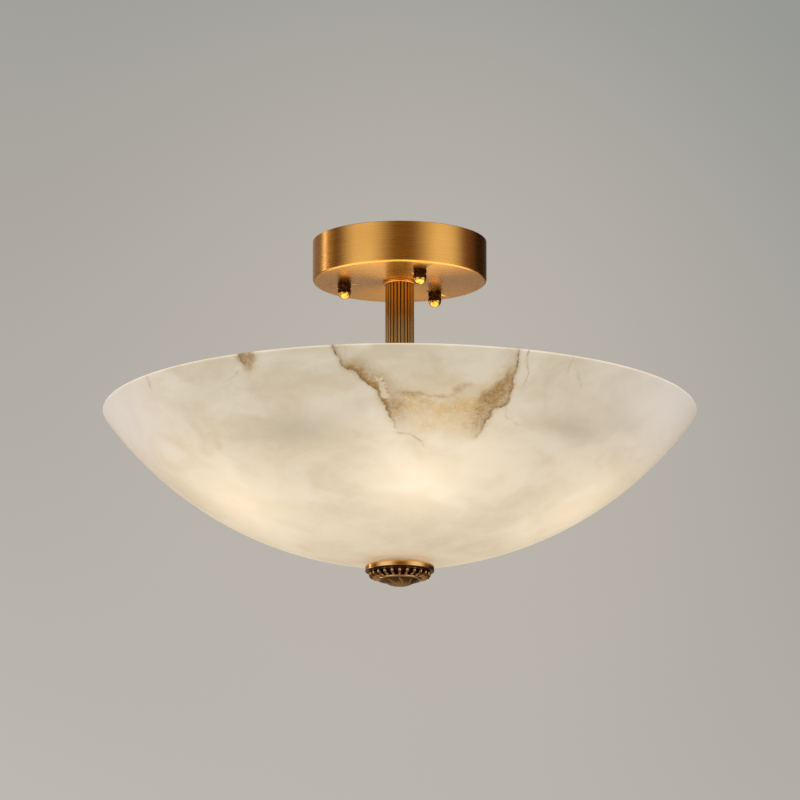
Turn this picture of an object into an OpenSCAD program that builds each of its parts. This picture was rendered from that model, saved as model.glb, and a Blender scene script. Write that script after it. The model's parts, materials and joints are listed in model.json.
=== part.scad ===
// Semi-flush ceiling light: a turned alabaster bowl on a reeded brass stem.
// The origin is the centre of the ceiling plane and +Z points up, so the light hangs below z = 0.
// All sizes are in millimetres.

/* [Canopy] */
// Outer diameter of the canopy
canopy_d = 117.8; // [110:0.1:135]
// Height of the canopy below the ceiling
canopy_h = 27.9; // [26:0.1:34]
// Wall of the spun canopy
canopy_wall = 1.2; // [0.8:0.1:1.5]
// Radius of its soft lower edge
canopy_edge_r = 1.8; // [1.6:0.1:3]

/* [Ceiling plate] */
// Outer diameter of the tray's rim
plate_d = 100; // [98:1:106]
// Sheet thickness of the tray
plate_t = 1.5; // [1:0.1:1.8]
// Depth of the tray below the ceiling, to the underside of its web
plate_depth = 5; // [5:0.1:5.6]
// Width of the turned-out rim
plate_rim_w = 5; // [4:0.5:6]
// Diameter of the cable hole
cable_hole_d = 20; // [12:1:24]
// Distance between the two ceiling screw slots
slot_spacing = 70; // [66:1:74]
// Width of a ceiling screw slot
slot_w = 5.2; // [4.5:0.1:6]
// End-to-end length of a ceiling screw slot
slot_len = 14; // [10:1:16]

/* [Studs and ball nuts] */
// Radius of the circle that the three studs stand on
stud_circle_r = 38; // [36:0.5:39]
// Direction of the first stud, from +X towards +Y
stud_phase = 51; // [45:1:57]
// Diameter of a stud
stud_d = 4; // [3.5:0.1:4.5]
// Length of a stud below the canopy
stud_reach = 7.5; // [5:0.5:8]
// Diameter of a ball nut's knurled bands
nut_d = 8.9; // [8:0.1:11]
// Height of one knurled band
nut_band_h = 2.9; // [2.6:0.1:4]
// Height of the waist between the bands
nut_waist_h = 0.6; // [0.4:0.1:1]
// Depth of the waist
nut_waist_depth = 0.55; // [0.3:0.05:0.8]
// Height of the ball end below the bands
nut_ball_h = 3.8; // [3:0.1:4]

/* [Stem] */
// Diameter over the reeds of the stem tube
stem_d = 19.5; // [18.5:0.5:24]
// Length of the stem tube
stem_len = 102; // [100:1:104]
// Number of reeds round the tube
reed_count = 24; // [16:1:30]
// How far a reed stands out of its valley
reed_h = 1; // [0.6:0.05:1.2]
// Bore of the stem tube
stem_bore_d = 14.6; // [13:0.1:15.2]
// Diameter of the rings at both ends of the tube
collar_d = 22.7; // [22:0.1:26]
// Height of the ring under the canopy
collar_h = 2; // [1.6:0.1:3]
// Height of the ring under the tube
foot_h = 4; // [3:0.5:5]

/* [Threaded rod and nuts] */
// Outer diameter of the threaded tube, the rod and the short nipples
rod_d = 10; // [9:0.1:10.5]
// Bore of the threaded tube and the short nipples
nipple_bore_d = 7; // [6.8:0.1:7.6]
// Width across the flats of the large nuts
nut_af = 14; // [13:0.5:14.5]
// Thickness of the large nuts
nut_t = 3; // [2.5:0.1:3.2]
// Clearance round the rod in a plain hole
rod_clear = 0.15; // [0.1:0.05:0.3]

/* [Hub and lampholders] */
// Diameter of the hub's drum
hub_d = 48; // [47:0.5:50]
// Height of the hub's drum
hub_h = 28; // [27:0.5:30]
// Wall of the hub's drum
hub_wall = 2; // [1.5:0.1:2.4]
// Distance from the axis to the hub's boss faces
boss_reach = 28; // [27.5:0.5:30]
// Diameter of a boss
boss_d = 16; // [15:0.5:18]
// Direction of the first lamp, from +X towards +Y
lamp_phase = 277; // [270:1:284]
// Length of a lampholder
holder_len = 40; // [39:1:44]
// Diameter of a lampholder
holder_d = 27.5; // [24:0.5:29]
// Diameter of a lampholder's neck
holder_neck_d = 20; // [18:0.5:22]
// Depth of the lamp socket
socket_depth = 24; // [23:0.5:25]

/* [Lamps] */
// Diameter of the lamp cap over its thread
cap_d = 13.9; // [13.5:0.1:14]
// Diameter of the opal globe
globe_d = 45; // [40:1:46]
// Wall of the opal globe
globe_wall = 1.2; // [0.8:0.1:2]
// Length of the lamp outside its holder
lamp_len = 52; // [48:1:54]

/* [Bowl] */
// Outer diameter of the bowl
bowl_d = 400; // [380:5:440]
// Outer depth of the bowl, from its rim to its lowest point
bowl_h = 104; // [98:1:108]
// Wall of the bowl
bowl_wall = 8.5; // [7:0.5:10]
// Height of the rim below the ceiling
rim_drop = 117.7; // [115:0.1:120]
// Radius of the eased edges of the rim
rim_r = 1; // [0.6:0.1:2]
// Diameter of the bowl's centre hole
bowl_hole_d = 12; // [11:0.5:14]

/* [Bowl washers] */
// Diameter of the silicone washer in the bowl
upper_gasket_d = 36; // [30:1:40]
// Thickness of the silicone washer in the bowl
upper_gasket_t = 2; // [1.5:0.1:3]
// Diameter of the silicone washer under the bowl
lower_gasket_d = 30; // [26:1:34]
// Thickness of the silicone washer under the bowl
lower_gasket_t = 3; // [2:0.1:4]
// Diameter of the steel disc above the bowl
stop_disc_d = 34; // [28:1:38]
// Thickness of the steel disc above the bowl
stop_disc_t = 1.5; // [1:0.1:2]

/* [Finial] */
// Diameter of the finial's plain band
finial_d = 46.4; // [44:0.2:52]
// Height of the plain band
band_h = 3.9; // [3.4:0.1:4.6]
// Height of the gadrooned zone, with the groove above it
gadroon_h = 4.2; // [3.8:0.1:5]
// Number of gadroons
gadroon_count = 24; // [20:1:30]
// Radius of a gadroon's wide upper end
gadroon_r = 2.2; // [1.8:0.1:2.4]
// Radius of the bead under the gadroons, to its outside
bead_reach = 15.2; // [14:0.1:16.4]
// Radius of the bead's section
bead_r = 0.95; // [0.8:0.05:1.2]
// Radius of the dome's edge
dome_r = 12.6; // [11:0.1:13.4]
// Height of the dome
dome_h = 4.4; // [4:0.1:6]
// Length of rod that the finial is screwed onto
thread_reach = 10; // [8:0.5:10.5]

/* [Hidden] */
// Seat of one piece on the next, running clearance on a thread and gap between turning parts
run = 0.05;
lamp_gap = 0.4;
LAMPS = 5;
STUDS = 3;
$fn = 96;

// Ceiling plate
plate_web_r = plate_d / 2 - plate_rim_w;
stud_head_d = 1.9 * stud_d;
stud_head_h = 2.2;
small_nut_af = 7;
small_nut_t = 3.2;
earth_screw_r = 27;
earth_screw_angle = 222;
washer_t = 0.8;

// Heights down the axis
canopy_z = -canopy_h;
canopy_floor = canopy_z + canopy_wall;
bracket_t = 1.2;
canopy_washer_t = 1;
canopy_nut_z = canopy_floor + bracket_t + canopy_washer_t;
nipple_top = canopy_nut_z + nut_t + 2;
tube_top = canopy_z - collar_h;
tube_bottom = tube_top - stem_len;
hub_top = tube_bottom - foot_h;
hub_z = hub_top - hub_h / 2;
hub_bottom = hub_top - hub_h;
hub_top_wall = 2.5;
cover_t = 2;
cover_spigot = 3;
cover_bottom = hub_bottom - cover_t;
nipple_bottom = hub_top - hub_top_wall - nut_t - 1.5;
rod_top = hub_bottom + nut_t + 1.5;

// Bowl: both faces are caps of concentric spheres
bowl_r = bowl_d / 2;
sphere_r = (bowl_h + pow(bowl_r - rim_r, 2) / (bowl_h - 2 * rim_r)) / 2;
inner_r = sphere_r - bowl_wall;
bowl_low = -rim_drop - bowl_h;
sphere_z = bowl_low + sphere_r;
// Centres of the arcs that ease the two edges of the rim, each tangent to its face and the top
ease_z = -rim_drop - rim_r;
ease_out_x = sqrt(pow(sphere_r - rim_r, 2) - pow(sphere_z - ease_z, 2));
ease_in_x = sqrt(pow(inner_r + rim_r, 2) - pow(sphere_z - ease_z, 2));
seat_r = lower_gasket_d / 2 + 1;
under_seat_z = sphere_z - sqrt(pow(sphere_r, 2) - pow(seat_r, 2));
inner_seat_z = sphere_z - inner_r;
stop_disc_z = inner_seat_z + upper_gasket_t;
stop_nut_z = stop_disc_z + stop_disc_t;

// Finial
finial_top = under_seat_z - lower_gasket_t;
finial_r = finial_d / 2;
gadroon_top = finial_top - band_h;
gadroon_bottom = gadroon_top - gadroon_h;
groove_h = 0.9;
bead_z = gadroon_bottom - bead_r + 0.2;
dome_top = bead_z - bead_r + 0.3;
dome_low = dome_top - dome_h;
dome_sphere_r = (dome_r * dome_r + dome_h * dome_h) / (2 * dome_h);
rod_bottom = finial_top - thread_reach;
band_edge_r = 0.6;

// Lampholders and lamps, along u from the axis of the light
rod_hole_r = rod_d / 2 + rod_clear;
thread_r = rod_d / 2 + run;
boss_inner = boss_reach - 9;
holder_start = boss_reach;
holder_mouth = holder_start + holder_len;
holder_neck_len = 7;
socket_end = holder_mouth - socket_depth;
sleeve_t = 0.45;
sleeve_in_r = cap_d / 2 + 2 * run;
sleeve_out_r = sleeve_in_r + sleeve_t;
contact_t = 1.4;
side_contact_t = 0.6;
cap_tip_u = socket_end + contact_t;
housing_u = holder_mouth + lamp_gap;
globe_u = housing_u + lamp_len - globe_d / 2;
globe_cut = 0.44 * globe_d / 2;
globe_open_r = sqrt(pow(globe_d / 2, 2) - pow(globe_cut, 2));
holder_nipple_in = boss_inner - nut_t - 1.5;
holder_nipple_out = holder_start + holder_neck_len;

// Wiring
wire_r = 0.9;
lead_r = 0.8;
live_z = hub_z + 1.6;
neutral_z = hub_z - 1.6;
spider_half_h = 1.1;
block_angle = stud_phase + 60 - 90;
block_w = 30;
block_l = 16;
block_h = 13;
block_y = 32;
pole_pitch = 9;
earth_y = nut_af / sqrt(3) + 0.6 + 3.6 + 0.3;
arch_z = -10;
block_z = canopy_floor + bracket_t;
wire_hole_z = block_z + 6.5;
tag_t = 0.8;
tag_z = block_z + 1.3;
block_screw_r = 1.5;

// Helpers

// A ring or disc between two heights, with a round hole
module ring(r_out, r_in, z_low, z_high) {
    difference() {
        translate([0, 0, z_low]) cylinder(r = r_out, h = z_high - z_low);
        translate([0, 0, z_low - 1]) cylinder(r = r_in, h = z_high - z_low + 2);
    }
}

// A hex nut whose lower face is at z, with a round bore
module hex_nut(af, bore_r, z, t) {
    difference() {
        translate([0, 0, z]) cylinder(r = af / sqrt(3), h = t, $fn = 6);
        translate([0, 0, z - 1]) cylinder(r = bore_r, h = t + 2);
    }
}

// Places the children once for each stud
module at_studs() {
    for (i = [0:STUDS - 1]) at_stud(i) children();
}

module at_stud(i) {
    a = stud_phase + i * 360 / STUDS;
    translate([stud_circle_r * cos(a), stud_circle_r * sin(a), 0]) children();
}

// Turns +Z of the children to point out along lamp i, at the hub's height
module along_lamp(i) {
    translate([0, 0, hub_z]) rotate([0, 90, lamp_phase + i * 360 / LAMPS]) children();
}

module along_lamps() {
    for (i = [0:LAMPS - 1]) along_lamp(i) children();
}

// A ring whose outer corners are rounded by r
module soft_ring(r_out, r_in, z_low, z_high, r) {
    rotate_extrude() {
        difference() {
            union() {
                translate([r_in, z_low + r]) square([r_out - r_in, z_high - z_low - 2 * r]);
                translate([r_in, z_low]) square([r_out - r_in - r, z_high - z_low]);
                for (z = [z_low + r, z_high - r]) translate([r_out - r, z]) circle(r = r);
            }
            translate([r_in - 2 * r_out, z_low - 1]) square([2 * r_out, z_high - z_low + 2]);
        }
    }
}

// A smooth curve through points: each stretch is a cubic that leaves and arrives along the path
function unit(v) = v / norm(v);
function heading(p, i) = unit(p[min(i + 1, len(p) - 1)] - p[max(i - 1, 0)]);
function bend(a, b, from, to, t) =
    (2 * t * t * t - 3 * t * t + 1) * a + (3 * t * t - 2 * t * t * t) * b
    + norm(b - a) * ((t * t * t - 2 * t * t + t) * from + (t * t * t - t * t) * to);
function spline(p, steps) = concat(
    [for (i = [0:len(p) - 2]) for (s = [0:steps - 1])
        bend(p[i], p[i + 1], heading(p, i), heading(p, i + 1), s / steps)],
    [p[len(p) - 1]]
);

// A round lead along a path, as one closed polyhedron. Its rings keep one fixed side direction,
// which no stretch of the route runs along.
module lead(path, r, sides = 8) {
    side = [1, 0.3, 0.1];
    last = len(path) - 1;
    points = [for (i = [0:last]) let (
            t = heading(path, i),
            u = unit(cross(t, side)),
            v = cross(t, u)
        ) for (k = [0:sides - 1])
            path[i] + r * (cos(k * 360 / sides) * u + sin(k * 360 / sides) * v)];
    walls = [for (i = [0:last - 1]) for (k = [0:sides - 1]) [
        i * sides + k, (i + 1) * sides + k,
        (i + 1) * sides + (k + 1) % sides, i * sides + (k + 1) % sides
    ]];
    polyhedron(points, concat(
        [[for (k = [0:sides - 1]) k]],
        walls,
        [[for (k = [sides - 1:-1:0]) last * sides + k]]
    ));
}

// Ceiling plate

module mounting_plate() {
    color("gainsboro") difference() {
        union() {
            translate([0, 0, -plate_depth]) cylinder(r = plate_web_r, h = plate_t);
            ring(plate_web_r, plate_web_r - plate_t, -plate_depth, 0);
            ring(plate_d / 2, plate_web_r - plate_t, -plate_t, 0);
        }
        translate([0, 0, -plate_depth - 1]) cylinder(d = cable_hole_d, h = plate_depth);
        for (s = [-1, 1]) translate([0, s * slot_spacing / 2, -plate_depth - 1])
            linear_extrude(plate_depth) slot_outline(slot_w, slot_len);
        at_studs() translate([0, 0, -plate_depth - 1]) cylinder(d = stud_d + 2 * run, h = plate_depth);
        at_plate_earth() translate([0, 0, -plate_depth - 1])
            cylinder(d = stud_d + 2 * run, h = plate_depth);
    }
}

// A slot along Y: two round ends joined by a rectangle
module slot_outline(w, length) {
    square([w, length - w], center = true);
    for (s = [-1, 1]) translate([0, s * (length - w) / 2]) circle(d = w);
}

module at_plate_earth() {
    rotate([0, 0, earth_screw_angle]) translate([earth_screw_r, 0, 0]) children();
}

// Shank downwards from under the head, head on the tray's web
module stud() {
    web_top = plate_t - plate_depth;
    translate([0, 0, canopy_z - stud_reach]) cylinder(d = stud_d, h = web_top - canopy_z + stud_reach);
    soft_ring(stud_head_d / 2, 0, web_top, web_top + stud_head_h, 0.5);
}

module mounting_studs() {
    color("silver") at_studs() stud();
}

module stud_lock_nuts() {
    color("silver") at_studs()
        hex_nut(small_nut_af, stud_d / 2 + run, -plate_depth - small_nut_t, small_nut_t);
}

module plate_earth_screw() {
    color("goldenrod") at_plate_earth() {
        ring(4.5, stud_d / 2, -plate_depth - washer_t, -plate_depth);
        translate([0, 0, -plate_depth - washer_t]) cylinder(d = stud_d, h = plate_t + washer_t);
        soft_ring(stud_head_d / 2, 0, -plate_depth - washer_t - stud_head_h, -plate_depth - washer_t, 0.5);
    }
}

// Canopy and what is clamped in it

module canopy() {
    r = canopy_d / 2;
    color("goldenrod") difference() {
        rotate_extrude() difference() {
            canopy_outline(r, canopy_z, 0, canopy_edge_r);
            canopy_outline(r - canopy_wall, canopy_floor, 1, canopy_edge_r - canopy_wall + 0.2);
        }
        translate([0, 0, canopy_z - 1]) cylinder(r = rod_hole_r, h = canopy_wall + 2);
        at_studs() translate([0, 0, canopy_z - 1]) cylinder(d = stud_d + 0.6, h = canopy_wall + 2);
    }
}

// Half of the canopy's section, with a round lower corner
module canopy_outline(r, low, high, edge) {
    translate([0, low]) square([r - edge, high - low]);
    translate([0, low + edge]) square([r, high - low - edge]);
    translate([r - edge, low + edge]) circle(r = edge);
}

// Turns the children from +Y to the middle between two studs
module at_block() {
    rotate([0, 0, block_angle]) children();
}

module terminal_bracket() {
    end_y = block_y + block_l / 2;
    color("gainsboro") at_block() difference() {
        translate([0, 0, canopy_floor]) linear_extrude(bracket_t) {
            translate([-7, 0]) square([14, end_y]);
            circle(r = nut_af / sqrt(3) + 1);
        }
        translate([0, 0, canopy_floor - 1]) {
            cylinder(r = rod_hole_r, h = bracket_t + 2);
            translate([0, earth_y, 0]) cylinder(r = stud_d / 2 + run, h = bracket_t + 2);
            at_block_screw() cylinder(r = block_screw_r + run, h = bracket_t + 2);
        }
    }
}

module at_block_screw() {
    translate([pole_pitch / 2, block_y, 0]) children();
}

module canopy_washer() {
    color("silver") ring(nut_af / sqrt(3) + 0.6, rod_hole_r, canopy_nut_z - canopy_washer_t, canopy_nut_z);
}

module canopy_nut() {
    color("silver") hex_nut(nut_af, thread_r, canopy_nut_z, nut_t);
}

module terminal_block() {
    color("ivory") at_block() difference() {
        translate([-block_w / 2, block_y - block_l / 2, block_z]) cube([block_w, block_l, block_h]);
        for (p = [-1:1]) {
            translate([p * pole_pitch, block_y - block_l / 2 - 1, wire_hole_z])
                rotate([-90, 0, 0]) cylinder(r = 1.7, h = block_l + 2);
            for (s = [-1, 1]) translate([p * pole_pitch, block_y + s * 4, wire_hole_z])
                cylinder(r = 2, h = block_h);
        }
        for (s = [-1, 1]) translate([s * pole_pitch / 2 - 0.7, block_y - block_l / 2 - 1, block_z + block_h - 3])
            cube([1.4, block_l + 2, 4]);
        at_block_screw() translate([0, 0, block_z - 1]) {
            cylinder(r = block_screw_r + 2 * run, h = block_h);
            translate([0, 0, block_h - 4]) cylinder(r = 2.7, h = block_h);
        }
    }
}

// Clamping screws stand over the leads in the block's wells; one longer screw holds the block
module terminal_screws() {
    head_z = block_z + block_h - 5;
    color("goldenrod") at_block() {
        for (p = [-1:1]) for (s = [-1, 1])
            translate([p * pole_pitch, block_y + s * 4, wire_hole_z + wire_r])
                cylinder(r = 2 - run, h = 3.6);
        at_block_screw() {
            translate([0, 0, canopy_floor]) cylinder(r = block_screw_r, h = head_z - canopy_floor);
            soft_ring(2.5, 0, head_z, head_z + 1.8, 0.4);
        }
    }
}

// Screw, ring tag and washer that clamp the earth lead to the bracket
module canopy_earth_screw() {
    color("goldenrod") at_block() {
        translate([0, earth_y, 0]) {
            ring(3.6, stud_d / 2, block_z, block_z + tag_t);
            translate([0, 0, canopy_floor]) cylinder(d = stud_d, h = bracket_t + tag_t);
            soft_ring(3.4, 0, block_z + tag_t, block_z + tag_t + stud_head_h, 0.5);
        }
        translate([-1.2, earth_y + 3, block_z]) cube([2.4, 3.2, tag_t]);
        translate([0, earth_y + 6.2, tag_z]) rotate([90, 0, 0]) cylinder(r = 1.3, h = 2.2);
    }
}

// Leads. Their points are in the block's own directions, with heights down from the ceiling.

// From a pole of the block, over in an arch and down the threaded tube
function stem_route(x, end_x) = concat(
    [
        [x, block_y - 2, wire_hole_z],
        [x, block_y - block_l / 2 + 2, wire_hole_z],
        [x, block_y - block_l / 2 - 1, wire_hole_z],
        [x * 0.9, 17, -14.5],
        [x * 0.6, 9, arch_z - 0.5],
        [end_x, 2.5, arch_z - 1.5],
        [end_x, 0, arch_z - 7]
    ],
    [for (s = [0:3]) [end_x, 0, nipple_top - 4 + s / 3 * (nipple_bottom + 5 - nipple_top)]]
);

module live_wire() {
    color("sienna") at_block() lead(spline(concat(
        stem_route(pole_pitch, 1.6),
        [for (z = [live_z + spider_half_h + 2, live_z + spider_half_h]) [1.6, 0, z]]
    ), 3), wire_r);
}

// Steps aside in the hub, between two arms of the live spider, to reach the one below it
module neutral_wire() {
    aside = [-3.9, 2.4];
    color("royalblue") at_block() lead(spline(concat(
        stem_route(-pole_pitch, -1.6),
        [for (z = [live_z + 3, live_z, neutral_z + spider_half_h]) [aside[0], aside[1], z]]
    ), 3), wire_r);
}

module earth_wire() {
    tag_end = earth_y + 6.2;
    color("yellowgreen") at_block() lead(spline([
        [0, block_y - 2, wire_hole_z],
        [0, block_y - block_l / 2 + 2, wire_hole_z],
        [0, block_y - block_l / 2 - 0.6, wire_hole_z],
        [0, tag_end + 1.6, tag_z],
        [0, tag_end + 0.8, tag_z],
        [0, tag_end, tag_z]
    ], 4), wire_r);
}

// Stem

module stem_collar() {
    color("goldenrod") end_ring(tube_top, canopy_z, tube_top - 3, tube_top);
}

module stem_foot() {
    color("goldenrod") end_ring(hub_top, tube_bottom, tube_bottom, tube_bottom + 3);
}

// A rounded ring and the spigot that centres the tube
module end_ring(z_low, z_high, spigot_low, spigot_high) {
    soft_ring(collar_d / 2, rod_hole_r, z_low, z_high, 0.7);
    ring(stem_bore_d / 2 - run, rod_hole_r, spigot_low, spigot_high);
}

module stem_tube() {
    pitch = 360 / reed_count;
    valley_r = stem_d / 2 - reed_h;
    reed_r = valley_r * sin(pitch / 2) * 0.97;
    color("peru") translate([0, 0, tube_bottom]) linear_extrude(stem_len) difference() {
        union() {
            circle(r = valley_r);
            for (i = [0:reed_count - 1]) rotate(266.6 + i * pitch)
                translate([stem_d / 2 - reed_r, 0]) circle(r = reed_r, $fn = 24);
        }
        circle(d = stem_bore_d);
    }
}

module stem_nipple() {
    color("silver") ring(rod_d / 2, nipple_bore_d / 2, nipple_bottom, nipple_top);
}

// Hub

module hub_body() {
    color("goldenrod") difference() {
        union() {
            translate([0, 0, hub_bottom]) cylinder(d = hub_d, h = hub_h);
            along_lamps() translate([0, 0, boss_inner]) cylinder(d = boss_d, h = boss_reach - boss_inner);
        }
        difference() {
            translate([0, 0, hub_bottom - 1])
                cylinder(r = hub_d / 2 - hub_wall, h = hub_h - hub_top_wall + 1);
            along_lamps() translate([0, 0, boss_inner]) cylinder(d = boss_d, h = boss_reach);
        }
        translate([0, 0, hub_top - hub_top_wall - 1]) cylinder(r = rod_hole_r, h = hub_top_wall + 2);
        along_lamps() translate([0, 0, boss_inner - 1]) cylinder(r = rod_hole_r, h = 12);
    }
}

module hub_cover() {
    r = hub_d / 2 - hub_wall - run;
    color("goldenrod") {
        ring(hub_d / 2, rod_hole_r, cover_bottom, hub_bottom);
        ring(r, r - hub_wall, hub_bottom, hub_bottom + cover_spigot);
    }
}

module hub_nuts() {
    color("silver")
        for (z = [hub_top - hub_top_wall - nut_t, hub_bottom, cover_bottom - nut_t])
            hex_nut(nut_af, thread_r, z, nut_t);
}

module bowl_rod() {
    color("silver") translate([0, 0, rod_bottom]) cylinder(d = rod_d, h = rod_top - rod_bottom);
}

module bowl_stop_washer() {
    color("silver") ring(stop_disc_d / 2, rod_hole_r, stop_disc_z, stop_nut_z);
}

module bowl_stop_nut() {
    color("silver") hex_nut(nut_af, thread_r, stop_nut_z, nut_t);
}

// Lampholders

module holder_nipples() {
    color("silver") along_lamps() ring(rod_d / 2, nipple_bore_d / 2, holder_nipple_in, holder_nipple_out);
}

module holder_nuts() {
    color("silver") along_lamps() hex_nut(nut_af, thread_r, boss_inner - nut_t, nut_t);
}

module lampholder(i) {
    neck_end = holder_start + holder_neck_len;
    rim_h = 3;
    color("whitesmoke") along_lamp(i) difference() {
        union() {
            translate([0, 0, holder_start]) cylinder(d = holder_neck_d, h = holder_neck_len);
            translate([0, 0, neck_end]) cylinder(d1 = holder_neck_d, d2 = holder_d, h = 3);
            translate([0, 0, neck_end + 3]) cylinder(d = holder_d, h = holder_mouth - neck_end - 3);
            translate([0, 0, holder_mouth - rim_h]) cylinder(d = holder_d + 1.6, h = rim_h);
        }
        translate([0, 0, holder_start - 1]) cylinder(r = thread_r, h = holder_neck_len + 1);
        translate([0, 0, neck_end - 1]) cylinder(d = nipple_bore_d, h = socket_end - neck_end + 2);
        translate([0, 0, socket_end]) cylinder(r = sleeve_out_r + run, h = socket_depth + 1);
    }
}

module holder_sleeves() {
    color("gold") along_lamps() 
        ring(sleeve_out_r, sleeve_in_r, socket_end + side_contact_t, holder_mouth - 1);
}

// Two half discs on the socket's floor: the thick one under the lamp's tip is live, and the wide
// one under the sleeve is neutral
module holder_contacts() {
    gap = 0.5;
    color("gold") along_lamps() translate([0, 0, socket_end]) {
        half_disc(sleeve_in_r - 1.6, contact_t, -gap);
        half_disc(sleeve_out_r, side_contact_t, gap);
    }
}

// The part of a disc beyond x, on the side that x lies on
module half_disc(r, t, x) {
    intersection() {
        cylinder(r = r, h = t);
        translate([x > 0 ? x : x - 2 * r, -r, 0]) cube([2 * r, 2 * r, t]);
    }
}

// The five leads of one pole, crimped together in the middle of the hub
module spider(z, body_r, length) {
    translate([0, 0, z - spider_half_h]) cylinder(r = body_r, h = 2 * spider_half_h);
    for (i = [0:LAMPS - 1]) translate([0, 0, z]) rotate([0, 90, lamp_phase + i * 360 / LAMPS])
        cylinder(r = lead_r, h = length);
}

module live_spider() {
    color("sienna") spider(live_z, 2.6, socket_end);
}

module neutral_spider() {
    color("royalblue") spider(neutral_z, 5.8, socket_end);
}

// Lamps

module bulb_cap(i) {
    tip_h = 1.1;
    cone_h = 2.2;
    thread_start = cap_tip_u + tip_h + cone_h;
    color("silver") along_lamp(i) {
        translate([0, 0, cap_tip_u]) cylinder(r = 2.4, h = tip_h);
        translate([0, 0, cap_tip_u + tip_h]) cylinder(r1 = 4.4, r2 = cap_d / 2 - 0.6, h = cone_h);
        translate([0, 0, thread_start]) cylinder(d = cap_d, h = housing_u - thread_start);
    }
}

module bulb_housing(i) {
    foot_r = 11;
    foot_len = 2.5;
    end_u = globe_u - globe_cut;
    color("white") along_lamp(i) {
        translate([0, 0, housing_u]) cylinder(r = foot_r, h = foot_len);
        translate([0, 0, housing_u + foot_len])
            cylinder(r1 = foot_r, r2 = globe_open_r, h = end_u - housing_u - foot_len);
    }
}

module bulb_globe(i) {
    color("ivory") along_lamp(i) difference() {
        translate([0, 0, globe_u]) sphere(d = globe_d);
        translate([0, 0, globe_u]) sphere(d = globe_d - 2 * globe_wall);
        translate([0, 0, globe_u - globe_d]) cylinder(d = 2 * globe_d, h = globe_d - globe_cut);
    }
}

// Bowl

module alabaster_bowl() {
    color("antiquewhite") difference() {
        rotate_extrude() bowl_section();
        translate([0, 0, bowl_low - 1]) cylinder(d = bowl_hole_d, h = bowl_wall + 4);
        translate([0, 0, bowl_low - 5]) cylinder(r = seat_r + 20, h = under_seat_z - bowl_low + 5);
        translate([0, 0, inner_seat_z]) cylinder(r = upper_gasket_d / 2 + 1, h = 3);
    }
}

// Half of the bowl's section: a band between two arcs, with both edges of the rim rounded
module bowl_section() {
    difference() {
        intersection() {
            translate([0, bowl_low - 1]) square([bowl_d, bowl_h + 1]);
            difference() {
                translate([0, sphere_z]) circle(r = sphere_r, $fn = 256);
                translate([0, sphere_z]) circle(r = inner_r, $fn = 256);
            }
        }
        rim_corner(ease_out_x, 1);
        rim_corner(ease_in_x, -1);
    }
    for (x = [ease_out_x, ease_in_x]) translate([x, ease_z]) circle(r = rim_r, $fn = 32);
}

// The corner outside an easing arc: between the arc's centre, its two tangent points and past the edge
module rim_corner(x, side) {
    to_arc = unit([x, ease_z - sphere_z]);
    reach = 6 * rim_r;
    polygon([
        [x, ease_z],
        [x, ease_z + reach],
        [x + side * 2 * reach, ease_z + reach],
        [x, ease_z] + side * reach * to_arc
    ]);
}

module upper_gasket() {
    color("whitesmoke") ring(upper_gasket_d / 2, bowl_hole_d / 2, inner_seat_z, stop_disc_z);
}

module lower_gasket() {
    color("whitesmoke") ring(lower_gasket_d / 2, bowl_hole_d / 2, finial_top, under_seat_z);
}

// Knurled ball nut on stud i, hanging under the canopy
module thumb_nut(i) {
    r = nut_d / 2;
    waist_z = canopy_z - nut_band_h;
    low_band_z = waist_z - nut_waist_h;
    ball_z = low_band_z - nut_band_h;
    ball_r = (pow(r - 0.1, 2) + pow(nut_ball_h, 2)) / (2 * nut_ball_h);
    color("darkgoldenrod") at_stud(i) difference() {
        union() {
            soft_ring(r, 0, waist_z, canopy_z, 0.3);
            translate([0, 0, low_band_z]) cylinder(r = r - nut_waist_depth, h = nut_waist_h);
            soft_ring(r, 0, ball_z, low_band_z, 0.3);
            intersection() {
                translate([0, 0, ball_z - nut_ball_h + ball_r]) sphere(r = ball_r);
                translate([0, 0, ball_z - nut_ball_h - 1]) cylinder(r = r, h = nut_ball_h + 1);
            }
        }
        translate([0, 0, canopy_z - stud_reach - 0.6]) cylinder(r = stud_d / 2 + run, h = stud_reach + 1);
    }
}

// Finial

module finial() {
    color("saddlebrown") difference() {
        union() {
            finial_turning();
            for (i = [0:gadroon_count - 1]) rotate([0, 0, i * 360 / gadroon_count]) gadroon();
        }
        translate([0, 0, rod_bottom - 0.7]) cylinder(r = thread_r, h = thread_reach + 1);
    }
}

// The turned part: band, groove, a cone behind the gadroons, bead and dome
module finial_turning() {
    cone_top_r = finial_r - 3.6;
    cone_low_r = bead_reach - 0.8;
    soft_ring(finial_r, 0, gadroon_top, finial_top, band_edge_r);
    translate([0, 0, gadroon_top - groove_h]) cylinder(r = finial_r - 2.6, h = groove_h + 0.3);
    translate([0, 0, gadroon_bottom]) cylinder(r1 = cone_low_r, r2 = cone_top_r, h = gadroon_h - 0.3);
    translate([0, 0, dome_top - 0.1]) cylinder(r = bead_reach - bead_r, h = gadroon_bottom - dome_top + 0.2);
    rotate_extrude() translate([bead_reach - bead_r, bead_z]) circle(r = bead_r, $fn = 32);
    intersection() {
        translate([0, 0, dome_low + dome_sphere_r]) sphere(r = dome_sphere_r);
        translate([0, 0, dome_low - 1]) cylinder(r = dome_r, h = dome_h + 1);
    }
}

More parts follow.
